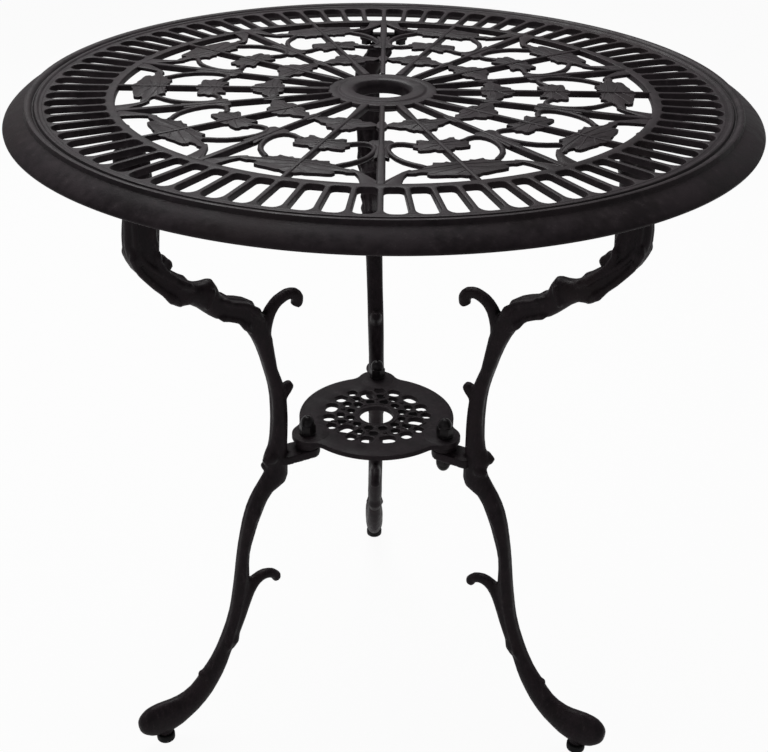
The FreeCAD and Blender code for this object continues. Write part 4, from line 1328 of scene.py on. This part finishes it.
@dataclass
class Fasteners:
    """Cap nuts, washers and studs at the shelf, and the screws under the rim."""

    finishes: Finishes
    shelf_top: float = 328.0
    stud_top: float = 338.6
    stud_ends: Triple = (303.0, 303.0, 296.0)
    washer_radius: float = 8.25
    washer_hole: float = 4.3
    washer_thickness: float = 1.6
    flats: float = 14.5
    hex_height: float = 9.0
    hex_edge: float = 0.7
    nut_height: float = 17.5
    nut_turn: float = 20.0
    screw_flats: float = 10.0
    screw_head: float = 4.0
    screw_edge: float = 0.5
    screw_radius: float = 3.0
    screw_length: float = 13.0

    def build(self) -> list[bpy.types.Object]:
        """Builds the fasteners and returns their pieces."""
        places = leg_places(BOLT_RADIUS)
        seat = self.shelf_top + self.washer_thickness
        nuts, washers, studs = Work(), Work(), Work()
        for place, end in zip(places, self.stud_ends):
            nuts.absorb(self.cap_nut().turned(self.nut_turn).moved((place.x, place.y, seat)))
            washers.absorb(self.washer().moved((place.x, place.y, self.shelf_top)))
            studs.absorb(self.thread(STUD_RADIUS, end, self.stud_top).moved(place))
        front_right = places[-1]
        lower = self.cap_nut().turned(180.0, "X").moved((front_right.x, front_right.y, TAB_BOTTOM))
        made = [nuts.piece("cap_nuts", self.finishes.steel, Slot.FASTENER),
                washers.piece("washers", self.finishes.steel, Slot.FASTENER),
                studs.piece("studs", self.finishes.zinc, Slot.STEEL),
                lower.piece("cap_nut_below", self.finishes.steel, Slot.FASTENER),
                self.rim_screws().piece("rim_screws", self.finishes.steel, Slot.FASTENER)]
        nodes = ("shelf_cap_nuts", "shelf_washers", "shelf_studs", "lower_cap_nut", "top_screws")
        for piece, node in zip(made, nodes):
            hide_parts(node)
        return made

    def cap_nut(self) -> Work:
        """Returns one domed nut that stands at the origin."""
        nut = Work().hexagon(self.flats, self.hex_height, self.hex_edge)
        r, base = self.flats / 2 - 0.3, self.hex_height
        rise = self.nut_height - base
        dome = [(0.0, base - 1.0), (r, base - 1.0)]
        dome += [(r * math.cos(turn), base + rise * math.sin(turn))
                 for turn in (math.radians(9 * k) for k in range(10))]
        nut.absorb(Work().lathe(dome, 32))
        return nut

    def washer(self) -> Work:
        """Returns one flat washer that lies at the origin."""
        hole, r, t = self.washer_hole, self.washer_radius, self.washer_thickness
        return Work().lathe(((hole, 0.0), (r - 0.3, 0.0), (r, 0.3), (r, t - 0.4), (r - 0.5, t),
                             (hole + 0.3, t), (hole, t - 0.3)), 48)

    @staticmethod
    def thread(radius: float, low: float, high: float, pitch: float = 1.25) -> Work:
        """Returns a threaded rod with a turned crest at every pitch.

        Args:
            radius: outer radius of the thread.
            low: height of its lower end.
            high: height of its upper end.
            pitch: distance from one crest to the next.

        Returns:
            The rod on the Z axis.
        """
        count = int((high - low) / pitch)
        profile = [(0.0, low), (radius - 0.7, low)]
        for k in range(count):
            start = low + pitch * k
            profile += [(radius, start + 0.5 * pitch), (radius - 0.6, start + pitch)]
        profile += [(radius - 0.7, high), (0.0, high)]
        return Work().lathe(profile, 24)

    def rim_screws(self) -> Work:
        """Returns the hex screws that hold the legs to the top."""
        screws = Work()
        for place in screw_places(FLANGE_BOTTOM):
            screw = Work().hexagon(self.screw_flats, self.screw_head, self.screw_edge).turned(180.0, "X")
            screw.absorb(self.thread(self.screw_radius, 0.0, self.screw_length))
            screws.absorb(screw.moved(place))
        return screws


@dataclass
class FootGlide:
    """A screw-in foot pad with its stud."""

    finishes: Finishes
    name: str
    angle: float
    body: Body
    pad_radius: float = 9.5
    height: float = 8.5
    stud_bottom: float = 3.5
    stud_top: float = 23.8

    def build(self) -> list[bpy.types.Object]:
        """Builds the pad and its stud and returns them."""
        place = polar(GLIDE_RADIUS, self.angle)
        r, h = self.pad_radius, self.height
        profile = ((0.0, 0.0), (r - 2.2, 0.0), (r - 1.0, 0.35), (r - 0.25, 1.2), (r, 2.4), (r, h - 1.8),
                   (r - 0.3, h - 0.9), (r - 1.0, h - 0.3), (r - 2.0, h), (0.0, h))
        pad = Work().lathe(profile, 64).moved(place)
        stud = Fasteners.thread(STUD_RADIUS, self.stud_bottom, self.stud_top).moved(place)
        made = [pad.piece("foot_pad_" + self.name, self.finishes.pad, Slot.GLIDE, self.body),
                stud.piece("foot_stud_" + self.name, self.finishes.zinc, Slot.STEEL, self.body)]
        for piece, node in zip(made, ("glide_pad_", "glide_stud_")):
            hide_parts(node + self.name)
        return made


@dataclass
class Studio:
    """Pale floor, soft lights and the camera at the photograph's angle."""

    focal_pixels: float = 1312.0
    centre_x: float = 350.6
    distance: float = 1.1416
    height: float = 1.0065
    pitch: float = 29.09
    roll: float = 0.45
    pan: float = 1.326
    sensor_width: float = 36.0
    floor_size: float = 12.0
    floor_height: float = -0.0005
    floor_grey: Colour = (0.82, 0.82, 0.82, 1.0)
    floor_glow: float = 0.95
    floor_mirrored: float = 0.25
    world_strength: float = 0.17
    world_mirrored: float = 0.12
    aim_height: float = 0.45
    # (name, place, size, watts)
    lamps: tuple[tuple[str, Triple, float, float], ...] = (
        ("overhead", (-0.4, 1.2, 2.4), 1.6, 42.0), ("front", (-1.8, -2.0, 1.6), 2.0, 5.0))

    def build(self) -> None:
        """Builds the floor, the world, the lights and the camera."""
        self.floor()
        self.world()
        self.lights()
        self.camera()

    def floor(self) -> None:
        """Adds the floor, which shows near white and keeps the table's shadow."""
        work = Work()
        bmesh.ops.create_grid(work.bm, x_segments=1, y_segments=1, size=self.floor_size / 2)
        mesh = bpy.data.meshes.new("floor")
        work.bm.to_mesh(mesh)
        work.bm.free()
        floor = bpy.data.objects.new("floor", mesh)
        bpy.context.scene.collection.objects.link(floor)
        floor.location.z = self.floor_height
        mesh.materials.append(self.floor_material())

    def floor_material(self) -> bpy.types.Material:
        """Returns the floor's pale finish, lifted to white where the camera sees it."""
        paint = Paint("studio_floor")
        paint.shader.inputs["Base Color"].default_value = self.floor_grey
        paint.shader.inputs["Roughness"].default_value = 1.0
        paint.shader.inputs["Specular IOR Level"].default_value = 0.0
        glow = paint.node("ShaderNodeEmission", None, {"Color": (1, 1, 1, 1), "Strength": 1.0})
        share = ray_share(paint.tree, self.floor_mirrored) * self.floor_glow
        mix = paint.node("ShaderNodeMixShader", None, {
            0: share, 1: paint.shader.outputs[0], 2: glow.outputs[0]})
        paint.tree.links.new(mix.outputs[0], paint.output.inputs["Surface"])
        return paint.material

    def world(self) -> None:
        """Sets a soft grey world that the camera sees as white."""
        world = bpy.data.worlds.new("studio_world")
        bpy.context.scene.world = world
        world.use_nodes = True
        tree = world.node_tree
        background = tree.nodes["Background"]
        lift = 1.0 - self.world_strength
        strength = self.world_strength + ray_share(tree, self.world_mirrored) * lift
        background.inputs["Color"].default_value = (1.0, 1.0, 1.0, 1.0)
        tree.links.new(strength.socket, background.inputs["Strength"])

    def lights(self) -> None:
        """Adds one broad light overhead and a weaker one from the front."""
        for name, place, size, watts in self.lamps:
            data = bpy.data.lights.new(name, "AREA")
            data.shape = "DISK"
            data.size = size
            data.energy = watts
            lamp = bpy.data.objects.new(name, data)
            bpy.context.scene.collection.objects.link(lamp)
            lamp.location = place
            aim = Vector((0.0, 0.0, self.aim_height)) - Vector(place)
            lamp.rotation_mode = "QUATERNION"
            lamp.rotation_quaternion = aim.to_track_quat("-Z", "Y")

    def camera(self) -> None:
        """Adds the camera from the sizes worked out of the photograph."""
        data = bpy.data.cameras.new("camera")
        data.sensor_width = self.sensor_width
        data.lens = self.focal_pixels * self.sensor_width / IMAGE_WIDTH
        data.shift_x = (IMAGE_WIDTH / 2 - self.centre_x) / IMAGE_WIDTH
        camera = bpy.data.objects.new("camera", data)
        bpy.context.scene.collection.objects.link(camera)
        turn = (Matrix.Rotation(math.radians(self.pan), 4, "Z")
                @ Matrix.Rotation(math.radians(90.0 - self.pitch), 4, "X")
                @ Matrix.Rotation(math.radians(self.roll), 4, "Z"))
        camera.matrix_world = Matrix.Translation((0.0, -self.distance, self.height)) @ turn
        bpy.context.scene.camera = camera


def main() -> None:
    """Builds every sub-assembly in order and reports it."""
    logging.basicConfig(level=logging.INFO, format="%(message)s")
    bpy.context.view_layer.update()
    finishes = Finishes()
    legs = list(zip(("rear", "front_left", "front_right"), LEG_ANGLES,
                    (Body.GLIDE_REAR, Body.GLIDE_FRONT_LEFT, Body.GLIDE_FRONT_RIGHT)))
    assemblies = [TableTop(finishes), TieShelf(finishes), Fasteners(finishes)]
    assemblies += [BranchLeg(finishes, name, angle) for name, angle, _ in legs]
    assemblies += [FootGlide(finishes, name, angle, body) for name, angle, body in legs]
    for assembly in assemblies:
        made = assembly.build()
        log.info("%s: %s", type(assembly).__name__, ", ".join(piece.name for piece in made))
    Studio().build()
    bpy.context.scene.view_settings.view_transform = "Standard"


if __name__ == "__main__":
    main()
